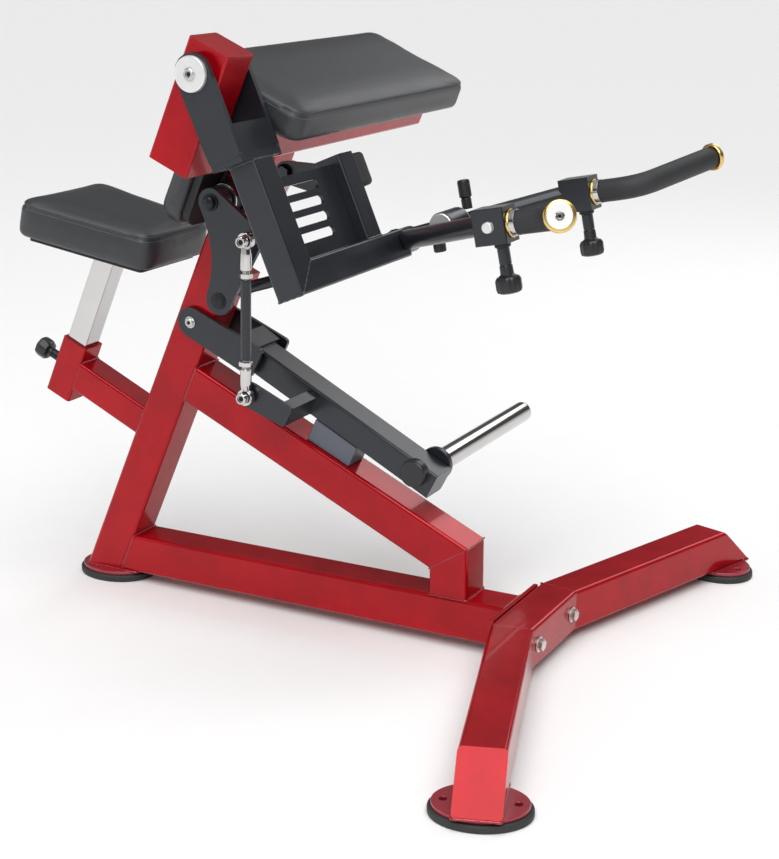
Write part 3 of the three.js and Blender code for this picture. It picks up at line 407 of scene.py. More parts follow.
def bead(name, points, material, body, radius=2.2):
    """A weld bead: a thin rippled bar along a closed line."""
    path = []
    for a, b in zip(points, points[1:] + points[:1]):
        count = max(2, int((b - a).length / 0.004))
        path += [a.lerp(b, i / count) for i in range(count)]
    curve = bpy.data.curves.new(name + "_path", "CURVE")
    curve.dimensions = "3D"
    curve.bevel_depth = radius / 1000
    curve.bevel_resolution = 3
    spline = curve.splines.new("POLY")
    spline.points.add(len(path) - 1)
    for i, (knot, point) in enumerate(zip(spline.points, path)):
        knot.co = (*point, 1)
        knot.radius = 1 + 0.22 * sin(i * 2.1)
    spline.use_cyclic_u = True
    return finish_mesh(curve_to_mesh(name, curve), material, body, angle=70)


def socket_bolt(name, origin, axis, radius, height, head, body, recess=0.5):
    """A round-headed bolt with a hexagon socket."""
    profile = [(0, 0), (radius, 0), (radius, height - 1.5), (radius - 1.5, height),
               (radius * recess, height), (radius * recess * 0.9, height - 2.5), (0, height - 2.5)]
    turned(name, origin, axis, profile, head, body, bevel=0.25, steps=40)
    hexagon(name + "_socket", origin, axis, radius * recess * 1.55, height - 2.6, height - 1.9, HOLE, body)


def dome_bolt(name, origin, axis, radius, material, body, height=12.4):
    """A domed bolt on a round washer."""
    washer = min(2.0, height * 0.3)
    rise = height - washer
    turned(name + "_washer", origin, axis,
           [(0, 0), (radius * 1.3, 0), (radius * 1.3, washer), (0, washer)], material, body)
    dome = [(radius, 0), (radius, 0.3), (radius * 0.93, 0.6), (radius * 0.7, 0.84),
            (radius * 0.35, 0.96), (0, 1)]
    profile = [(0, washer * 0.8)] + [(r, washer + rise * h) for r, h in dome]
    turned(name, origin, axis, profile, material, body)


# ---------------------------------------------------------------- red frame
def make_frame():
    for node in ("base_tube", "front_cross_tube", "front_leg_near", "front_leg_far", "upright_tube",
                 "brace_tube", "brace_leg", "pad_beam", "seat_bracket_tube", "seat_sleeve"):
        keep(node, RED, 1.6, segments=3)
    keep("pivot_post", RED, 1.4)
    keep("arm_stop_bracket", RED, 1.2)
    make_beads()
    make_feet()
    for side, name in SIDES:
        make_cross_bolt(side, name)
    make_seat_pin()
    turned("beam_plug", lean.at(BEAM_W, 400, 642), Y, [(0, 0), (33, 0), (31, 2.5), (0, 3)], PLASTIC, "frame",
           steps=4)


def lean_point(w, y, z):
    """The point of the lean plane at w that is z above the floor."""
    return P((w + sin(LEAN) * z) / cos(LEAN), y, z)


def lean_brace(w, y, h):
    """Where the lean plane at w meets the brace's plane at height h."""
    c, s = cos(LEAN), sin(LEAN)
    cb, sb = cos(BRACE_TILT), sin(BRACE_TILT)
    det = c * cb + s * sb
    return P((w * cb + s * h) / det, y, (c * h - sb * w) / det)


def rectangle(make, ys, values):
    (y0, y1), (a, b) = ys, values
    return [make(y0, a), make(y1, a), make(y1, b), make(y0, b)]


def make_beads():
    front, rear, sleeve = UPRIGHT_W + 38, UPRIGHT_W - 38, SEAT_W + 28.5
    half = (-37, 37)
    bead("weld_base_upright", rectangle(lambda y, z: lean_point(front, y, z), half, (22, 96)),
         RED_WELD, "frame")
    bead("weld_brace_upright", rectangle(lambda y, h: lean_brace(front, y, h), half, (34.3, 108.3)),
         RED_WELD, "frame")
    bead("weld_bracket_upright", rectangle(lambda y, h: lean_brace(rear, y, h), (-29, 29), (-92, -33.8)),
         RED_WELD, "frame")
    bead("weld_bracket_sleeve", rectangle(lambda y, h: lean_brace(sleeve, y, h), (-27, 27), (-92, -33.8)),
         RED_WELD, "frame")
    bead("weld_leg_base", rectangle(lambda y, x: P(x, y, BASE_TOP), half, (-231, -157)), RED_WELD, "frame")
    top = (109.3 + 156 * sin(BRACE_TILT)) / cos(BRACE_TILT)
    inner = (33.3 + 232 * sin(BRACE_TILT)) / cos(BRACE_TILT)
    mitre = {-157: top - 1, -231: inner + 0.5}
    bead("weld_brace_leg", rectangle(lambda y, x: P(x, y, mitre[x]), half, (-157, -231)),
         RED_WELD, "frame", 1.6)
    bead("weld_post_beam", rectangle(lambda s, w: lean.at(w, -324, s), (605, 679), (-869, -795)),
         RED_WELD, "frame", 1.8)
    bead("weld_beam_upright", rectangle(lambda y, w: lean.at(w, y, 603.5), half, (-869, front - 0.5)),
         RED_WELD, "frame", 1.8)
    bead("weld_flange", rectangle(lambda y, z: P(-84.3, y, z), half, (22, 96)), RED_WELD, "frame", 1.8)
    for side, name in SIDES:
        t = sin(SPLAY / 2) / cos(SPLAY / 2) * 37
        points = [P(-38 + 37, side * (104 - t), z) if k < 2 else P(-38 - 37, side * (104 + t), z)
                  for k, z in enumerate((22, 96, 96, 22))]
        bead(f"weld_leg_mitre_{name}", points, RED_WELD, "frame", 1.5)


def leg_point(side, t, z=0.0):
    return P(-38 + t * sin(SPLAY), side * (104 + t * cos(SPLAY)), z)


def ellipse(a, b):
    turns = [2 * pi * i / 72 for i in range(72)]
    return [(a * cos(turn), b * sin(turn)) for turn in turns]


def make_feet():
    places = (("front_foot_near", leg_point(-1, 478), -SPLAY), ("front_foot_far", leg_point(1, 478), SPLAY),
              ("rear_foot", P(-948, 0, 0), 0.0))
    for node, centre, turn in places:
        base = Matrix.Translation(centre) @ Matrix.Rotation(-turn, 4, "Z")
        holes = [arc(x, 0, 6.2, 0, 2 * pi, 20)[:-1] for x in (-56, 56)]
        rubber = flat_plate(node + "_rubber", ellipse(80, 63), holes, base, 13.2, RUBBER, "frame", 3.2)
        flat_plate(node + "_plate", ellipse(74.5, 57.5), holes,
                   base @ Matrix.Translation((0, 0, 0.0132)), 7.2, RED_PLATE, "frame", 1.4)
        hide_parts(node)
    for side, name in SIDES:
        across = Vector((cos(SPLAY), -side * sin(SPLAY), 0)) * 0.037
        points = [leg_point(side, 420, 21) - across, leg_point(side, 539, 21) - across,
                  leg_point(side, 539, 21) + across, leg_point(side, 420, 21) + across]
        bead(f"weld_foot_{name}", points, RED_WELD, "frame", 2.4)
    left = P((UPRIGHT_W - 38 + sin(LEAN) * 21) / cos(LEAN), 0, 21)
    reach = [left + Vector((x, y, 0)) for x, y in ((0, -0.037), (0.118, -0.037), (0.118, 0.037), (0, 0.037))]
    bead("weld_foot_rear", reach, RED_WELD, "frame", 2.4)


def make_cross_bolt(side, name):
    origin = P(0, side * 75, 61)
    axis = Vector((1, 0, 0))
    washer = turned(f"cross_washer_{name}", origin, axis, [(0, 0.3), (14, 0.3), (14, 2.6), (0, 2.6)], ZINC,
                    "frame")
    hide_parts(f"cross_bolt_{name}")
    hexagon(f"cross_bolt_head_{name}", origin, axis, 19, 2.6, 11, ZINC, "frame")


def make_seat_pin():
    """The spring pin that holds the seat post, with its collar on the sleeve."""
    base = lean.at(SEAT_W - 28.5, 0, -43)
    out = -lean.along
    barrel = [(PIN_BORE, 25.8), (9.4, 25.8), (9.4, 9.5), (12.4, 8.2), (12.4, 0.5), (13.5, 0), (PIN_BORE, 0),
              (PIN_BORE, 25.8)]
    turned("seat_pin_collar", base, out, barrel, BOLT_BLACK, "frame")
    knob = fluted_knob("seat_pin_knob", base, out, 27, 61, 20.5, 8, "seat_pin")
    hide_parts("seat_pin")
    turned("seat_pin_shaft", base, out, [(0, -5), (4.6, -5), (5, -3), (5, 30), (0, 30)], ZINC, "seat_pin")


def fluted_knob(name, origin, axis, h0, h1, radius, flutes, body):
    """A moulded knob with shallow flutes and a waisted neck."""
    axis = axis.normalized()
    u, v = axes_for(axis)
    steps = 96
    profile = [(0, h0), (9, h0), (10, h0 + 2), (10, h0 + 6), (radius * 0.86, h0 + 8), (radius, h0 + 13),
               (radius, h1 - 8), (radius * 0.93, h1 - 3), (radius * 0.7, h1 - 0.8), (0, h1)]
    verts, faces = [], []
    for k, (r, h) in enumerate(profile):
        for i in range(steps):
            a = 2 * pi * i / steps
            wave = 1 - (0.05 * (0.5 + 0.5 * cos(a * flutes)) if 4 <= k <= 7 else 0)
            verts.append(origin + axis * h / 1000 + (u * cos(a) + v * sin(a)) * max(r, 0.01) * wave / 1000)
    for k in range(len(profile) - 1):
        for i in range(steps):
            j = (i + 1) % steps
            faces.append((k * steps + i, k * steps + j, (k + 1) * steps + j, (k + 1) * steps + i))
    faces += [tuple(range(steps)), tuple(range((len(profile) - 1) * steps, len(profile) * steps))]
    obj = new_object(name, verts, faces)
    fix_normals(obj)
    return finish_mesh(obj, PLASTIC, body, 0.3, angle=40)


# ---------------------------------------------------------------- cushions
def rounded(length, width, r, inset=0.0, rear=None):
    """Rounded rectangle, or a trapezium whose rear end is `rear` wide."""
    a, b = length / 2 - inset, width / 2 - inset
    c = (rear / 2 - inset) if rear else b
    r = max(2.0, r - inset)
    return (arc(a - r, b - r, r, 0, pi / 2, 8) + arc(-a + r, c - r, r, pi / 2, pi, 8)
            + arc(-a + r, -c + r, r, pi, 1.5 * pi, 8) + arc(a - r, -b + r, r, 1.5 * pi, 2 * pi, 8))


def stack(name, layers):
    """A closed body through stacked outlines, each (outline, height), with the same point count."""
    verts, faces = [], []
    n = len(layers[0][0])
    for outline, h in layers:
        verts += [(x / 1000, y / 1000, h / 1000) for x, y in outline]
    for k in range(len(layers) - 1):
        for i in range(n):
            j = (i + 1) % n
            faces.append((k * n + i, k * n + j, (k + 1) * n + j, (k + 1) * n + i))
    faces.append(tuple(reversed(range(n))))
    faces.append(tuple(range((len(layers) - 1) * n, len(layers) * n)))
    return new_object(name, verts, faces)


def inflate(obj, pressure, cap, pin_height):
    """Lets a cushion swell as cloth by up to `cap` millimetres, held where it meets its board."""
    scene = bpy.context.scene
    mesh = obj.data
    rest = [v.co.copy() for v in mesh.vertices]
    held = obj.vertex_groups.new(name="held")
    held.add([v.index for v in mesh.vertices if v.co.z < pin_height / 1000], 1.0, "REPLACE")
    cloth = obj.modifiers.new("cloth", "CLOTH")
    cloth.settings.quality = 4
    cloth.settings.mass = 0.3
    cloth.settings.tension_stiffness = cloth.settings.compression_stiffness = 60
    cloth.settings.bending_stiffness = 6
    cloth.settings.use_pressure = True
    cloth.settings.uniform_pressure_force = pressure
    cloth.settings.effector_weights.gravity = 0
    cloth.settings.vertex_group_mass = "held"
    cloth.collision_settings.use_collision = False
    for step in range(1, 21):
        scene.frame_set(step)
    evaluated = obj.evaluated_get(bpy.context.evaluated_depsgraph_get())
    moved = [v.co.copy() for v in evaluated.data.vertices]
    obj.modifiers.remove(cloth)
    scene.frame_set(1)
    for vertex, old, new in zip(mesh.vertices, rest, moved):
        shift = new - old
        if shift.length > cap / 1000:
            shift *= cap / 1000 / shift.length
        vertex.co = old + shift


def cushion(name, node, outline, height, seam, crown, matrix, body):
    """A padded vinyl cushion: boxing round the side, a stitched seam, and a crowned top panel."""
    swell = 2.0
    layers = [(outline(swell + 4), 0), (outline(swell + 1.2), 1.5), (outline(swell), 6),
              (outline(swell), height * 0.5), (outline(swell + 0.5), seam), (outline(swell + 3), seam + 5),
              (outline(swell + 9), height - 2.5), (outline(swell + 18), height - 0.8),
              (outline(swell + 34), height + crown * 0.4),
              (outline(swell + 60), height + crown * 0.8)]
    obj = stack(name, layers)
    remesh = obj.modifiers.new("remesh", "REMESH")
    remesh.mode = "VOXEL"
    remesh.voxel_size = 0.005
    remesh.use_smooth_shade = True
    smooth = obj.modifiers.new("relax", "SMOOTH")
    smooth.iterations = 4
    bake(obj)
    inflate(obj, 4.0, 1.6, 5)
    settle = obj.modifiers.new("settle", "SMOOTH")
    settle.iterations = 5
    bake(obj)
    shape_seam(obj, outline, seam)
    fine = obj.modifiers.new("fine", "SUBSURF")
    fine.levels = fine.render_levels = 1
    bake(obj)
    stitches = stitch_rows(name, obj, outline, seam)
    for piece in (obj, stitches):
        piece.data.transform(matrix)
        finish_mesh(piece, VINYL if piece is obj else THREAD, body, angle=60)
    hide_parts(node)
    return obj


def shape_seam(obj, outline, seam):
    """Pulls the surface in along the seam and lets it pucker a little beside it."""
    edge = outline(0)
    centre = Vector((sum(x for x, _ in edge), sum(y for _, y in edge))) / len(edge)
    for vertex in obj.data.vertices:
        x, y, z = (c * 1000 for c in vertex.co)
        off = z - seam
        if abs(off) > 14:
            continue
        nearest = min(hypot(x - ex, y - ey) for ex, ey in edge)
        if nearest > 14:
            continue
        angle = atan2(y - centre.y, x - centre.x)
        pull = 2.4 * 2.718 ** (-(off / 3.2) ** 2) - 0.6 * 2.718 ** (-((abs(off) - 7) / 4) ** 2)
        pull += 0.25 * sin(angle * 46) * 2.718 ** (-((off + 8) / 5) ** 2)
        inward = Vector((centre.x - x, centre.y - y)).normalized()
        vertex.co.x += inward.x * pull / 1000
        vertex.co.y += inward.y * pull / 1000


def even_loop(points, step):
    """Points at even distances round a closed outline."""
    closed = points + points[:1]
    lengths = [hypot(b[0] - a[0], b[1] - a[1]) for a, b in zip(closed, closed[1:])]
    count = int(sum(lengths) / step)
    spaced, walked, target = [], 0.0, 0.0
    pitch = sum(lengths) / count
    for a, b, length in zip(closed, closed[1:], lengths):
        while length > 0 and target < walked + length and len(spaced) < count:
            f = (target - walked) / length
            spaced.append((a[0] + (b[0] - a[0]) * f, a[1] + (b[1] - a[1]) * f))
            target += pitch
        walked += length
    return spaced


def stitch_rows(name, cushion_obj, outline, seam):
    """Two rows of separate thread stitches, lying on the cushion either side of its seam."""
    tree = BVHTree.FromObject(cushion_obj, bpy.context.evaluated_depsgraph_get())
    spots = even_loop(outline(0), 4.6)
    centre = Vector((sum(x for x, _ in spots), sum(y for _, y in spots))) / len(spots) / 1000
    verts, faces = [], []
    for rise in (-4.2, 4.2):
        z = (seam + rise) / 1000
        for i, (x, y) in enumerate(spots):
            nx, ny = spots[(i + 1) % len(spots)]
            ends = []
            for f in (0.12, 0.8):
                probe = Vector(((x + (nx - x) * f) / 1000, (y + (ny - y) * f) / 1000, z))
                outward = Vector((probe.x - centre.x, probe.y - centre.y, 0)).normalized()
                hit, normal, _, _ = tree.ray_cast(probe + outward * 0.03, -outward, 0.08)
                if hit:
                    ends.append((hit + normal * 0.0002, normal))
            if len(ends) == 2:
                add_stitch(verts, faces, ends)
    return new_object(name + "_stitches", verts, faces)


def add_stitch(verts, faces, ends):
    (a, na), (b, _) = ends
    along = (b - a).normalized()
    side = along.cross(na).normalized() * 0.00055
    lift = na.normalized() * 0.0006
    base = len(verts)
    for point, scale in ((a, 0.35), (a.lerp(b, 0.25), 1), (a.lerp(b, 0.75), 1), (b, 0.35)):
        verts.extend([point - side * scale, point + lift * scale, point + side * scale, point - lift * 0.6])
    for k in range(3):
        for i in range(4):
            j = (i + 1) % 4
            faces.append((base + k * 4 + i, base + k * 4 + j, base + k * 4 + 4 + j, base + k * 4 + 4 + i))
    faces.append((base, base + 3, base + 2, base + 1))
    faces.append((base + 12, base + 13, base + 14, base + 15))


def make_pads():
    seat_matrix = axes_matrix(seat.at(0, 0, -61.5), seat.along, Y)
    cushion("seat_cushion", "seat_pad", lambda i: rounded(294, 224, 32, i, rear=260), 71, 58, 4,
            seat_matrix, "seat")
    chest_matrix = axes_matrix(lean.at(UPRIGHT_W - 38 - 23.4, 0, 510), lean.out, Y)
    cushion("chest_cushion", "chest_pad", lambda i: rounded(260, 230, 40, i), 46, 36, 3.5,
            chest_matrix, "frame")
    arm_matrix = axes_matrix(lean.at(-808, 12, 700), lean.along, Y)
    cushion("arm_cushion", "arm_pad", lambda i: rounded(228, 612, 30, i), 55, 45, 4,
            arm_matrix, "frame")
    keep("seat_board", PLY, 1.0)
    keep("chest_board", PLY, 1.0)
    keep("arm_board", PLY, 1.0)
    for x in (-60, 50):
        for y in (-40, 40):
            name = f"seat_screw_{x}_{y}".replace("-", "m")
            hexagon(name, seat.at(x, y, -78.2), -seat.out, 11, 0, 4.5, ZINC, "seat")
    keep("seat_post", CHROME, 1.2)


# ---------------------------------------------------------------- swinging arm
def make_arm():
    for node in ("arm_yoke", "arm_down_tube", "arm_cross_tube", "arm_gusset", "stop_post",
                 "handle_block_near", "handle_block_far"):
        keep(node, BLACK, 1.3, segments=3)
    keep("yoke_hub", BLACK, 1.0)
    keep("yoke_tube_near", BLACK, 0.6)
    keep("yoke_tube_far", BLACK, 0.6)
    axle = turned("arm_axle_shaft", pivot_a, Y, [(0, -421), (12.4, -421), (12.4, -303), (0, -303)],
                  ZINC, "frame")
    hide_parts("arm_axle")
    near = Vector((pivot_a.x, -0.4203, pivot_a.z))
    cap = [(0, 0), (28, 0), (28, 5), (27, 6.6), (25.5, 7), (11, 7), (10.4, 6.2), (0, 6.2)]
    turned("pivot_cap_near", near, -Y, cap, SILVER, "frame", steps=80)
    socket_bolt("pivot_bolt_near", near + Vector((0, -0.0062, 0)), -Y, 9.5, 4.5, ZINC, "frame")
    far = Vector((pivot_a.x, -0.3037, pivot_a.z))
    turned("pivot_cap_far", far, Y, [(0, 0), (28, 0), (28, 3.4), (26.5, 5), (0, 5)],
           SILVER, "frame", steps=80)
    ring = [(13, 0), (26.5, 0), (26.5, 9), (13, 9), (13, 0)]
    for (side, name), y in zip(SIDES, (-410.6, -313.4)):
        cheek = Vector((pivot_a.x, y / 1000, pivot_a.z))
        turned(f"pivot_bush_{name}", cheek, -side * Y, ring, BOLT_BLACK, "frame")
    make_arm_beads()
    block = [(206 + a, 9 + b) for a, b in rounded(58, 46, 8)]
    bumper = side_plate("post_bumper", arm, block, -92.6, -61.7, RUBBER, "arm", 4.0)
    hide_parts("stop_post_bumper")
    turned("crank_pin_head", arm.at(*pin_place(-470, 850, -118.2)), -Y,
           [(0, 0), (15, 0), (15, 2.2), (0, 2.2)], BOLT_BLACK, "arm")
    make_yoke_details()


def pin_place(x, z, y):
    """The arm frame's coordinates of a pin given at rest."""
    offset = P(x, 0, z) - pivot_a
    return offset.dot(arm.along) * 1000, y, offset.dot(arm.out) * 1000


def make_arm_beads():
    bead("weld_arm_flange", rectangle(lambda y, n: arm.at(151, y, n), (-387, -332), (-18, 30)),
         BLACK_WELD, "arm", 1.8)
    corners = [arm.at(371, -387, n) if k < 2 else arm.at(323, -332, n)
               for k, n in enumerate((-18, 30, 30, -18))]
    bead("weld_arm_elbow", corners, BLACK_WELD, "arm", 1.6)
    bead("weld_stop_post", rectangle(lambda y, n: arm.at(321.8, y, n), (-140, -94), (-18, 30)),
         BLACK_WELD, "arm", 1.8)
    bead("weld_gusset_down", rectangle(lambda s, n: arm.at(s, -330.8, n), (187, 320), (5, 11)),
         BLACK_WELD, "arm", 1.4)
    bead("weld_gusset_cross", rectangle(lambda y, n: arm.at(321.8, y, n), (-328, -144), (5, 11)),
         BLACK_WELD, "arm", 1.4)
    hub = Vector((P(HUB[0], 0, HUB[1]).x, -0.0197, HUB[1] / 1000))
    points = [hub + Vector((cos(a), 0, sin(a))) * 0.0235 for a in [2 * pi * i / 24 for i in range(24)]]
    bead("weld_yoke_hub", points, BLACK_WELD, "arm", 2.0)


def make_yoke_details():
    barrel = Vector((P(-214, 0, 0).x, 0, 0.766))
    disc = [(0, 0), (21.5, 0), (21.5, 1.2), (20, 2.2), (0, 2.2)]
    turned("yoke_barrel_disc_near", barrel + Vector((0, -0.0358, 0)), -Y, disc, SILVER, "arm", steps=64)
    turned("yoke_barrel_disc_far", barrel + Vector((0, 0.0338, 0)), Y, disc, SILVER, "arm", steps=64)
    peg_base = P(-214, 70, 777)
    peg = turned("yoke_peg_knob", peg_base, grip.out,
                 [(0, 3.2), (9, 3.2), (9, 20), (8.2, 22), (11, 24.5), (11, 50), (10, 53), (7, 54), (0, 54)],
                 PLASTIC, "arm")
    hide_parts("yoke_peg")
    stub = [(0, 0), (9, 0), (9, 6), (11, 8), (11, 30), (9.5, 32), (0, 32)]
    turned("yoke_stub", P(-228, -20, 750), -grip.out, stub, PLASTIC, "arm")
    for side, name in SIDES:
        face = grip.at(0, side * 199.7, 0)
        head = [(0, 0), (11.6, 0), (11.6, 2.6), (8.8, 3), (8.8, 9), (7.8, 10.2), (0, 10.2)]
        turned(f"block_bolt_{name}", face, side * Y, head, SILVER, "arm")
        cheek = hull([(-21, -22, 6), (21, -22, 6), (21, 22, 6), (-21, 22, 6)], 24)
        y0 = side * 200.7 if side > 0 else -202.7
        side_plate(f"block_face_{name}", grip, cheek, y0, y0 + 2.0, BLACK, "arm", 0.7)


# ---------------------------------------------------------------- handles
def ring_centre(side):
    return grip.at(28, side * HANDLE_Y, 0)


def handle_path(side, begin, finish):
    """Points along a handle's centre line, from `begin` past its ring to `finish` past its end."""
    start = ring_centre(side)
    corner = start + grip.along * 0.082
    outward = (Y * side * cos(SWEEP) + grip.along * sin(SWEEP) + grip.out * RISE).normalized()
    end = corner + outward * REACH
    bend = 0.04
    a, b = corner - grip.along * bend, corner + outward * bend
    points = [start + grip.along * begin / 1000]
    if begin < 24:
        points.append(start + grip.along * 0.026)
    for i in range(9):
        t = i / 8
        points.append(a * (1 - t) ** 2 + corner * 2 * t * (1 - t) + b * t * t)
    points.append(b.lerp(end, 0.5))
    points.append(end + outward * finish / 1000)
    return points, end, outward


def make_handles():
    for side, name in SIDES:
        body = f"handle_{name}"
        points, end, outward = handle_path(side, 14.5, -1)
        sleeve = tube(f"grip_sleeve_{name}", points, GRIP_R, GRIP, body, 24)
        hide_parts(f"grip_{name}")
        ring = ring_centre(side)
        core = turned(f"handle_ring_{name}", ring, grip.along,
                      [(0, 0.4), (20.5, 0.4), (21, 1.2), (21, 13.6), (16, 13.6), (16, 8), (0, 8)],
                      CHROME, body, steps=72)
        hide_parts(f"handle_bar_{name}")
        turned(f"handle_ring_edge_{name}", ring, grip.along,
               [(17, 0.35), (22.2, 0.35), (22.6, 1.2), (22.6, 3.4), (22, 4.2), (17, 4.2), (17, 0.35)],
               GOLD, body, steps=72)
        turned(f"handle_shank_{name}", ring, grip.along,
               [(0, -50), (11, -50), (12.2, -48.5), (12.2, 2), (0, 2)], CHROME, body)
        cap = turned(f"end_cap_body_{name}", end, outward,
                     [(0, 0.4), (22.5, 0.4), (24, 1.6), (24.5, 3), (24.5, 7.5), (23.6, 9.4), (22, 10.3),
                      (18.5, 10.6), (17.8, 10), (0, 10)], GOLD, body, steps=72)
        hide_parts(f"end_cap_{name}")
        turned(f"end_cap_dish_{name}", end, outward,
               [(0, 9.9), (19, 9.9), (19, 11), (17.5, 11.3), (13, 10.6), (0, 10.6)], SILVER, body, steps=72)
        socket_bolt(f"end_cap_bolt_{name}", end + outward * 0.0105, outward, 7.5, 2.6, CHROME, body)
        make_grip_pin(side, name)


def make_grip_pin(side, name):
    base = grip.at(8, side * HANDLE_Y, -29)
    down = -grip.out
    body = f"grip_pin_{name}"
    collar = [(PIN_BORE, 34), (8, 34), (9.6, 32.5), (9.6, 8), (12.4, 6.5), (13.2, 5), (13.2, 0),
              (PIN_BORE, 0), (PIN_BORE, 34)]
    turned(f"grip_pin_collar_{name}", base, down, collar, BOLT_BLACK, "arm")
    turned(f"grip_pin_tip_{name}", base, down, [(0, -8), (4.4, -8), (5, -7), (5, 36), (0, 36)], ZINC, body)
    stem = [(0, 35), (9.5, 35), (10.5, 36.5), (11, 50), (15, 53), (0, 53)]
    turned(f"grip_pin_stem_{name}", base, down, stem, PLASTIC, body)
    head = fluted_knob(f"grip_pin_head_{name}", base, down, 46, 81, 21.3, 10, body)
    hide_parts(f"grip_pin_{name}")


# ---------------------------------------------------------------- rocker, links and weight lever
ROCKER_C, ROCKER_D, ROCKER_E = (-623, 787), (-612, 612), (-540, 729)
CRANK_B, LEVER_G = (-470, 850), (-548, 448)
LINK_Y, TIE_Y = -95, -135.5


def link_point(xz, y):
    return P(xz[0], y, xz[1])


def make_linkage():
    keep("rocker_plate", BLACK, 1.2)
    hub = link_point(ROCKER_C, -38)
    housing = [(0, 0.4), (34, 0.4), (34, 7), (33, 8), (29, 8.4), (27, 9.4), (27, 43), (25.5, 44.4),
               (18, 44.4), (12, 44.6), (12, 80.4), (0, 80.4)]
    bearing = turned("rocker_bearing", hub, -Y, housing, BOLT_BLACK, "frame", steps=72)
    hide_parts("rocker_hub")
    ring = [(26, 36.5), (27.8, 36.5), (27.8, 40), (26, 40), (26, 36.5)]
    turned("rocker_bearing_ring", hub, -Y, ring, CHROME, "frame", steps=72)
    dome_bolt("rocker_pivot_bolt", link_point(ROCKER_C, ROCKER_FACE), -Y, 12, BOLT_BLACK, "frame")
    pin = turned("drive_pin_shaft", link_point(ROCKER_D, 0), -Y, [(0, 76), (8, 76), (8, 119), (0, 119)],
                 ZINC, "rocker")
    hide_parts("drive_pin")
    dome_bolt("drive_pin_bolt", link_point(ROCKER_D, ROCKER_FACE), -Y, 11.5, BOLT_BLACK, "rocker", 4.6)
    rod_with_ends("drive_link", ROCKER_D, CRANK_B, LINK_Y, 11, 17, "drive_link")
    rod_with_ends("tie_rod", ROCKER_E, LEVER_G, TIE_Y, 9.3, 15.5, "tie_rod")
    tie = link_point(ROCKER_E, 0)
    shaft = turned("tie_pin_shaft", tie, -Y, [(0, 109), (6.4, 109), (6.4, 150), (0, 150)], ZINC, "rocker")
    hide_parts("tie_pin")
    spacer = [(6, 118.4), (12, 118.4), (10, 126.2), (6, 126.2), (6, 118.4)]
    turned("tie_pin_spacer", tie, -Y, spacer, CHROME, "rocker")
    socket_bolt("tie_pin_head", link_point(ROCKER_E, ROD_BOLT_Y), -Y, 10.5, 11, CHROME, "rocker", 0.62)
    socket_bolt("tie_rod_bolt", link_point(LEVER_G, ROD_BOLT_Y), -Y, 10.5, 9.6, CHROME, "tie_rod", 0.62)
    stud = [(0, 125.3), (9, 125.3), (7.5, 130), (0, 130)]
    turned("tie_rod_stud", link_point(LEVER_G, 0), -Y, stud, CHROME, "tie_rod")


def rod_with_ends(node, start, end, y, rod_r, eye_r, body):
    """An adjustable rod: a black bar with a lock nut, a shank and a ball-jointed eye at each end."""
    a, b = link_point(start, y), link_point(end, y)
    axis = (b - a).normalized()
    length = (b - a).length * 1000
    profile = [(0, 68), (rod_r - 1, 68), (rod_r, 69.5), (rod_r, length - 69.5),
               (rod_r - 1, length - 68), (0, length - 68)]
    bar = turned(f"{node}_bar", a, axis, profile, BLACK, body)
    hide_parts(node)
    for tag, point, way in (("upper", a, axis), ("lower", b, -axis)):
        eye = [(eye_r - 6.5, -6), (eye_r - 1, -6.5), (eye_r, -5), (eye_r, 5), (eye_r - 1, 6.5),
               (eye_r - 6.5, 6), (eye_r - 6.5, -6)]
        turned(f"{node}_eye_{tag}", point, Y, eye, CHROME, body, steps=64)
        ball_r = eye_r - 6.6
        bore = ball_r * 0.81
        arcs = [(ball_r * cos(t), ball_r * sin(t)) for t in [radians(d) for d in range(-30, 31, 10)]]
        ball = [(bore, -8.2), *arcs, (bore, 8.2), (bore, -8.2)]
        turned(f"{node}_ball_{tag}", point, Y, ball, ZINC, body, steps=48)
        shank = [(0, eye_r - 3), (8.4, eye_r - 3), (9.6, eye_r + 5), (10.2, eye_r + 10), (10.2, 50), (9, 52),
                 (0, 52)]
        turned(f"{node}_shank_{tag}", point, way, shank, CHROME, body)
        hexagon(f"{node}_nut_{tag}", point, way, 22, 57, 66, CHROME, body)
        thread = [(0, 50)]
        for k in range(10):
            thread += [(7.4, 50 + k * 1.8), (6.6, 50.9 + k * 1.8)]
        turned(f"{node}_thread_{tag}", point, way, thread + [(6.6, 69), (0, 69)], ZINC, body, bevel=0)


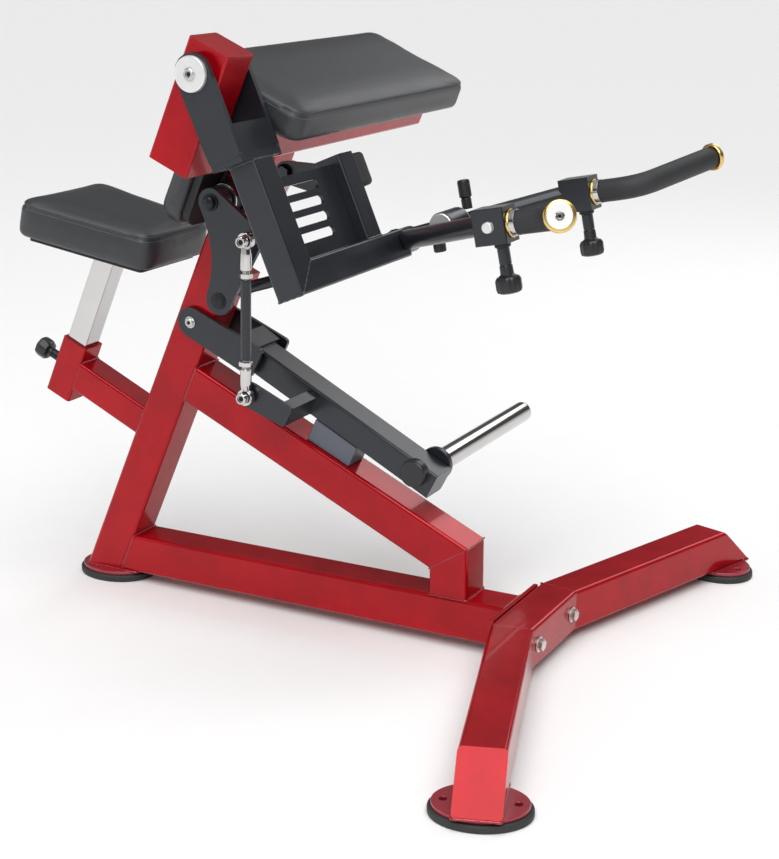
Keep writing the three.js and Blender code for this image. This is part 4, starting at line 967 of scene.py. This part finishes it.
def make_lever():
    for node in ("lever_yoke", "lever_tube", "lever_outrigger"):
        keep(node, BLACK, 1.3, segments=3)
    axle = turned("lever_axle_shaft", pivot_l, Y, [(0, -50), (10, -50), (10, 50), (0, 50)], ZINC, "frame")
    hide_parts("lever_axle")
    for side, name in SIDES:
        face = Vector((pivot_l.x, side * 0.0493, pivot_l.z))
        turned(f"lever_washer_{name}", face, side * Y, [(0, 0), (11, 0), (11, 1.6), (0, 1.6)], ZINC, "frame")
        socket_bolt(f"lever_bolt_{name}", face + side * Y * 0.0016, side * Y, 8.5, 5, ZINC, "frame")
    horn_at = lever.at(519, 30, 14)
    bar = [(0, 12), (20.3, 12), (20.3, 386), (19.2, 392), (16, 397), (11, 399.5), (0, 400)]
    horn = turned("weight_horn_bar", horn_at, Y, bar, CHROME, "lever", steps=72)
    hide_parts("weight_horn")
    flange = [(0, 0.4), (30, 0.4), (31, 1.5), (31, 10.5), (29.5, 12), (0, 12)]
    turned("horn_flange", horn_at, Y, flange, BLACK, "lever", steps=72)
    boss_at = lever.at(512, -30, 12)
    boss = turned("lever_end_cap", boss_at, -Y,
                  [(0, 0.4), (25, 0.4), (25, 13), (24, 16), (22, 17.4), (0, 18)], PLASTIC, "lever",
                  steps=72)
    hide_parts("lever_end_boss")
    bead("weld_lever_fork", rectangle(lambda y, h: lever.at(140.4, y, h), (-29, 29), (-20, 28.5)),
         BLACK_WELD, "lever", 1.5)
    ring = [boss_at + (lever.along * cos(a) + lever.out * sin(a)) * 0.0245 for a in
            [2 * pi * i / 24 for i in range(24)]]
    bead("weld_end_boss", ring, BLACK_WELD, "lever", 1.5)
    bead("weld_outrigger", rectangle(lambda t, h: lever.at(t, -30.6, h), (263, 283), (-18, 19)),
         BLACK_WELD, "lever", 1.6)


def make_stops():
    keep("lever_bumper", BUMPER, 3.0, segments=3)
    start = lean.at(-823.5, -60, 307)
    tip = arm.at(350, -60, -21.6)
    axis = tip - start
    length = axis.length * 1000
    bar = [(0, 0.5), (11, 0.5), (11, length - 17), (0, length - 17)]
    rod = turned("stop_rod_bar", start, axis, bar, BLACK, "frame")
    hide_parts("arm_stop_rod")
    cap = [(0, length - 20), (11.5, length - 20), (13, length - 16), (13, length - 2), (11.5, length),
           (0, length)]
    turned("stop_rod_tip", start, axis, cap, RUBBER, "frame")
    hexagon("stop_rod_nut", start, axis, 28, 1, 10, ZINC, "frame")


# ---------------------------------------------------------------- floor, light and camera
def make_studio():
    size = 45.0
    floor = new_object("floor", [(-size, -size, 0), (size, -size, 0), (size, size, 0), (-size, size, 0)],
                       [(0, 1, 2, 3)])
    floor.data.materials.append(FLOOR)
    sky = bpy.data.worlds.new("studio")
    sky.use_nodes = True
    nodes, links = sky.node_tree.nodes, sky.node_tree.links
    direction = nodes.new("ShaderNodeTexCoord")
    height = nodes.new("ShaderNodeSeparateXYZ")
    ramp = nodes.new("ShaderNodeValToRGB")
    bands = ((0.1, 0.9), (0.17, 0.12), (0.36, 0.12), (0.6, 0.6))
    for _ in bands[2:]:
        ramp.color_ramp.elements.new(0.5)
    for element, (position, grey) in zip(ramp.color_ramp.elements, bands):
        element.position = position
        element.color = (grey, grey, grey, 1)
    links.new(direction.outputs["Generated"], height.inputs["Vector"])
    links.new(height.outputs["Z"], ramp.inputs["Fac"])
    links.new(ramp.outputs["Color"], nodes["Background"].inputs["Color"])
    nodes["Background"].inputs["Strength"].default_value = 0.7
    bpy.context.scene.world = sky
    bpy.context.scene.view_settings.view_transform = "Standard"
    sun = bpy.data.lights.new("sun", "SUN")
    sun.energy = 2.35
    sun.angle = radians(60)
    link("sun", sun).rotation_euler = (radians(22), radians(12), 0)
    softbox("key", (1.6, -3.4, 2.6), (0.0, 0.0, 0.6), 1.6, 40)
    softbox("left", (-3.2, -2.2, 1.8), (-0.2, 0.0, 0.6), 1.4, 18)
    softbox("rim", (0.6, 3.6, 3.0), (0.0, 0.0, 0.6), 2.0, 25)
    camera_data = bpy.data.cameras.new("camera")
    camera_data.sensor_fit = "AUTO"
    camera_data.sensor_width = 36
    camera_data.lens = 73.2
    camera_data.clip_end = 60
    camera = link("camera", camera_data)
    camera.location = P(1075.1, -2659.9, 1278.2)
    forward = Vector((-0.4479, 0.8473, -0.2854))
    camera.rotation_euler = forward.to_track_quat("-Z", "Y").to_euler()
    bpy.context.scene.camera = camera


def softbox(name, place, target, size, watts):
    light = bpy.data.lights.new(name, "AREA")
    light.size = size
    light.energy = watts
    holder = link(name, light)
    holder.location = place
    holder.rotation_euler = (Vector(target) - Vector(place)).to_track_quat("-Z", "Y").to_euler()


make_studio()
make_frame()
make_pads()
make_arm()
make_handles()
make_linkage()
make_lever()
make_stops()
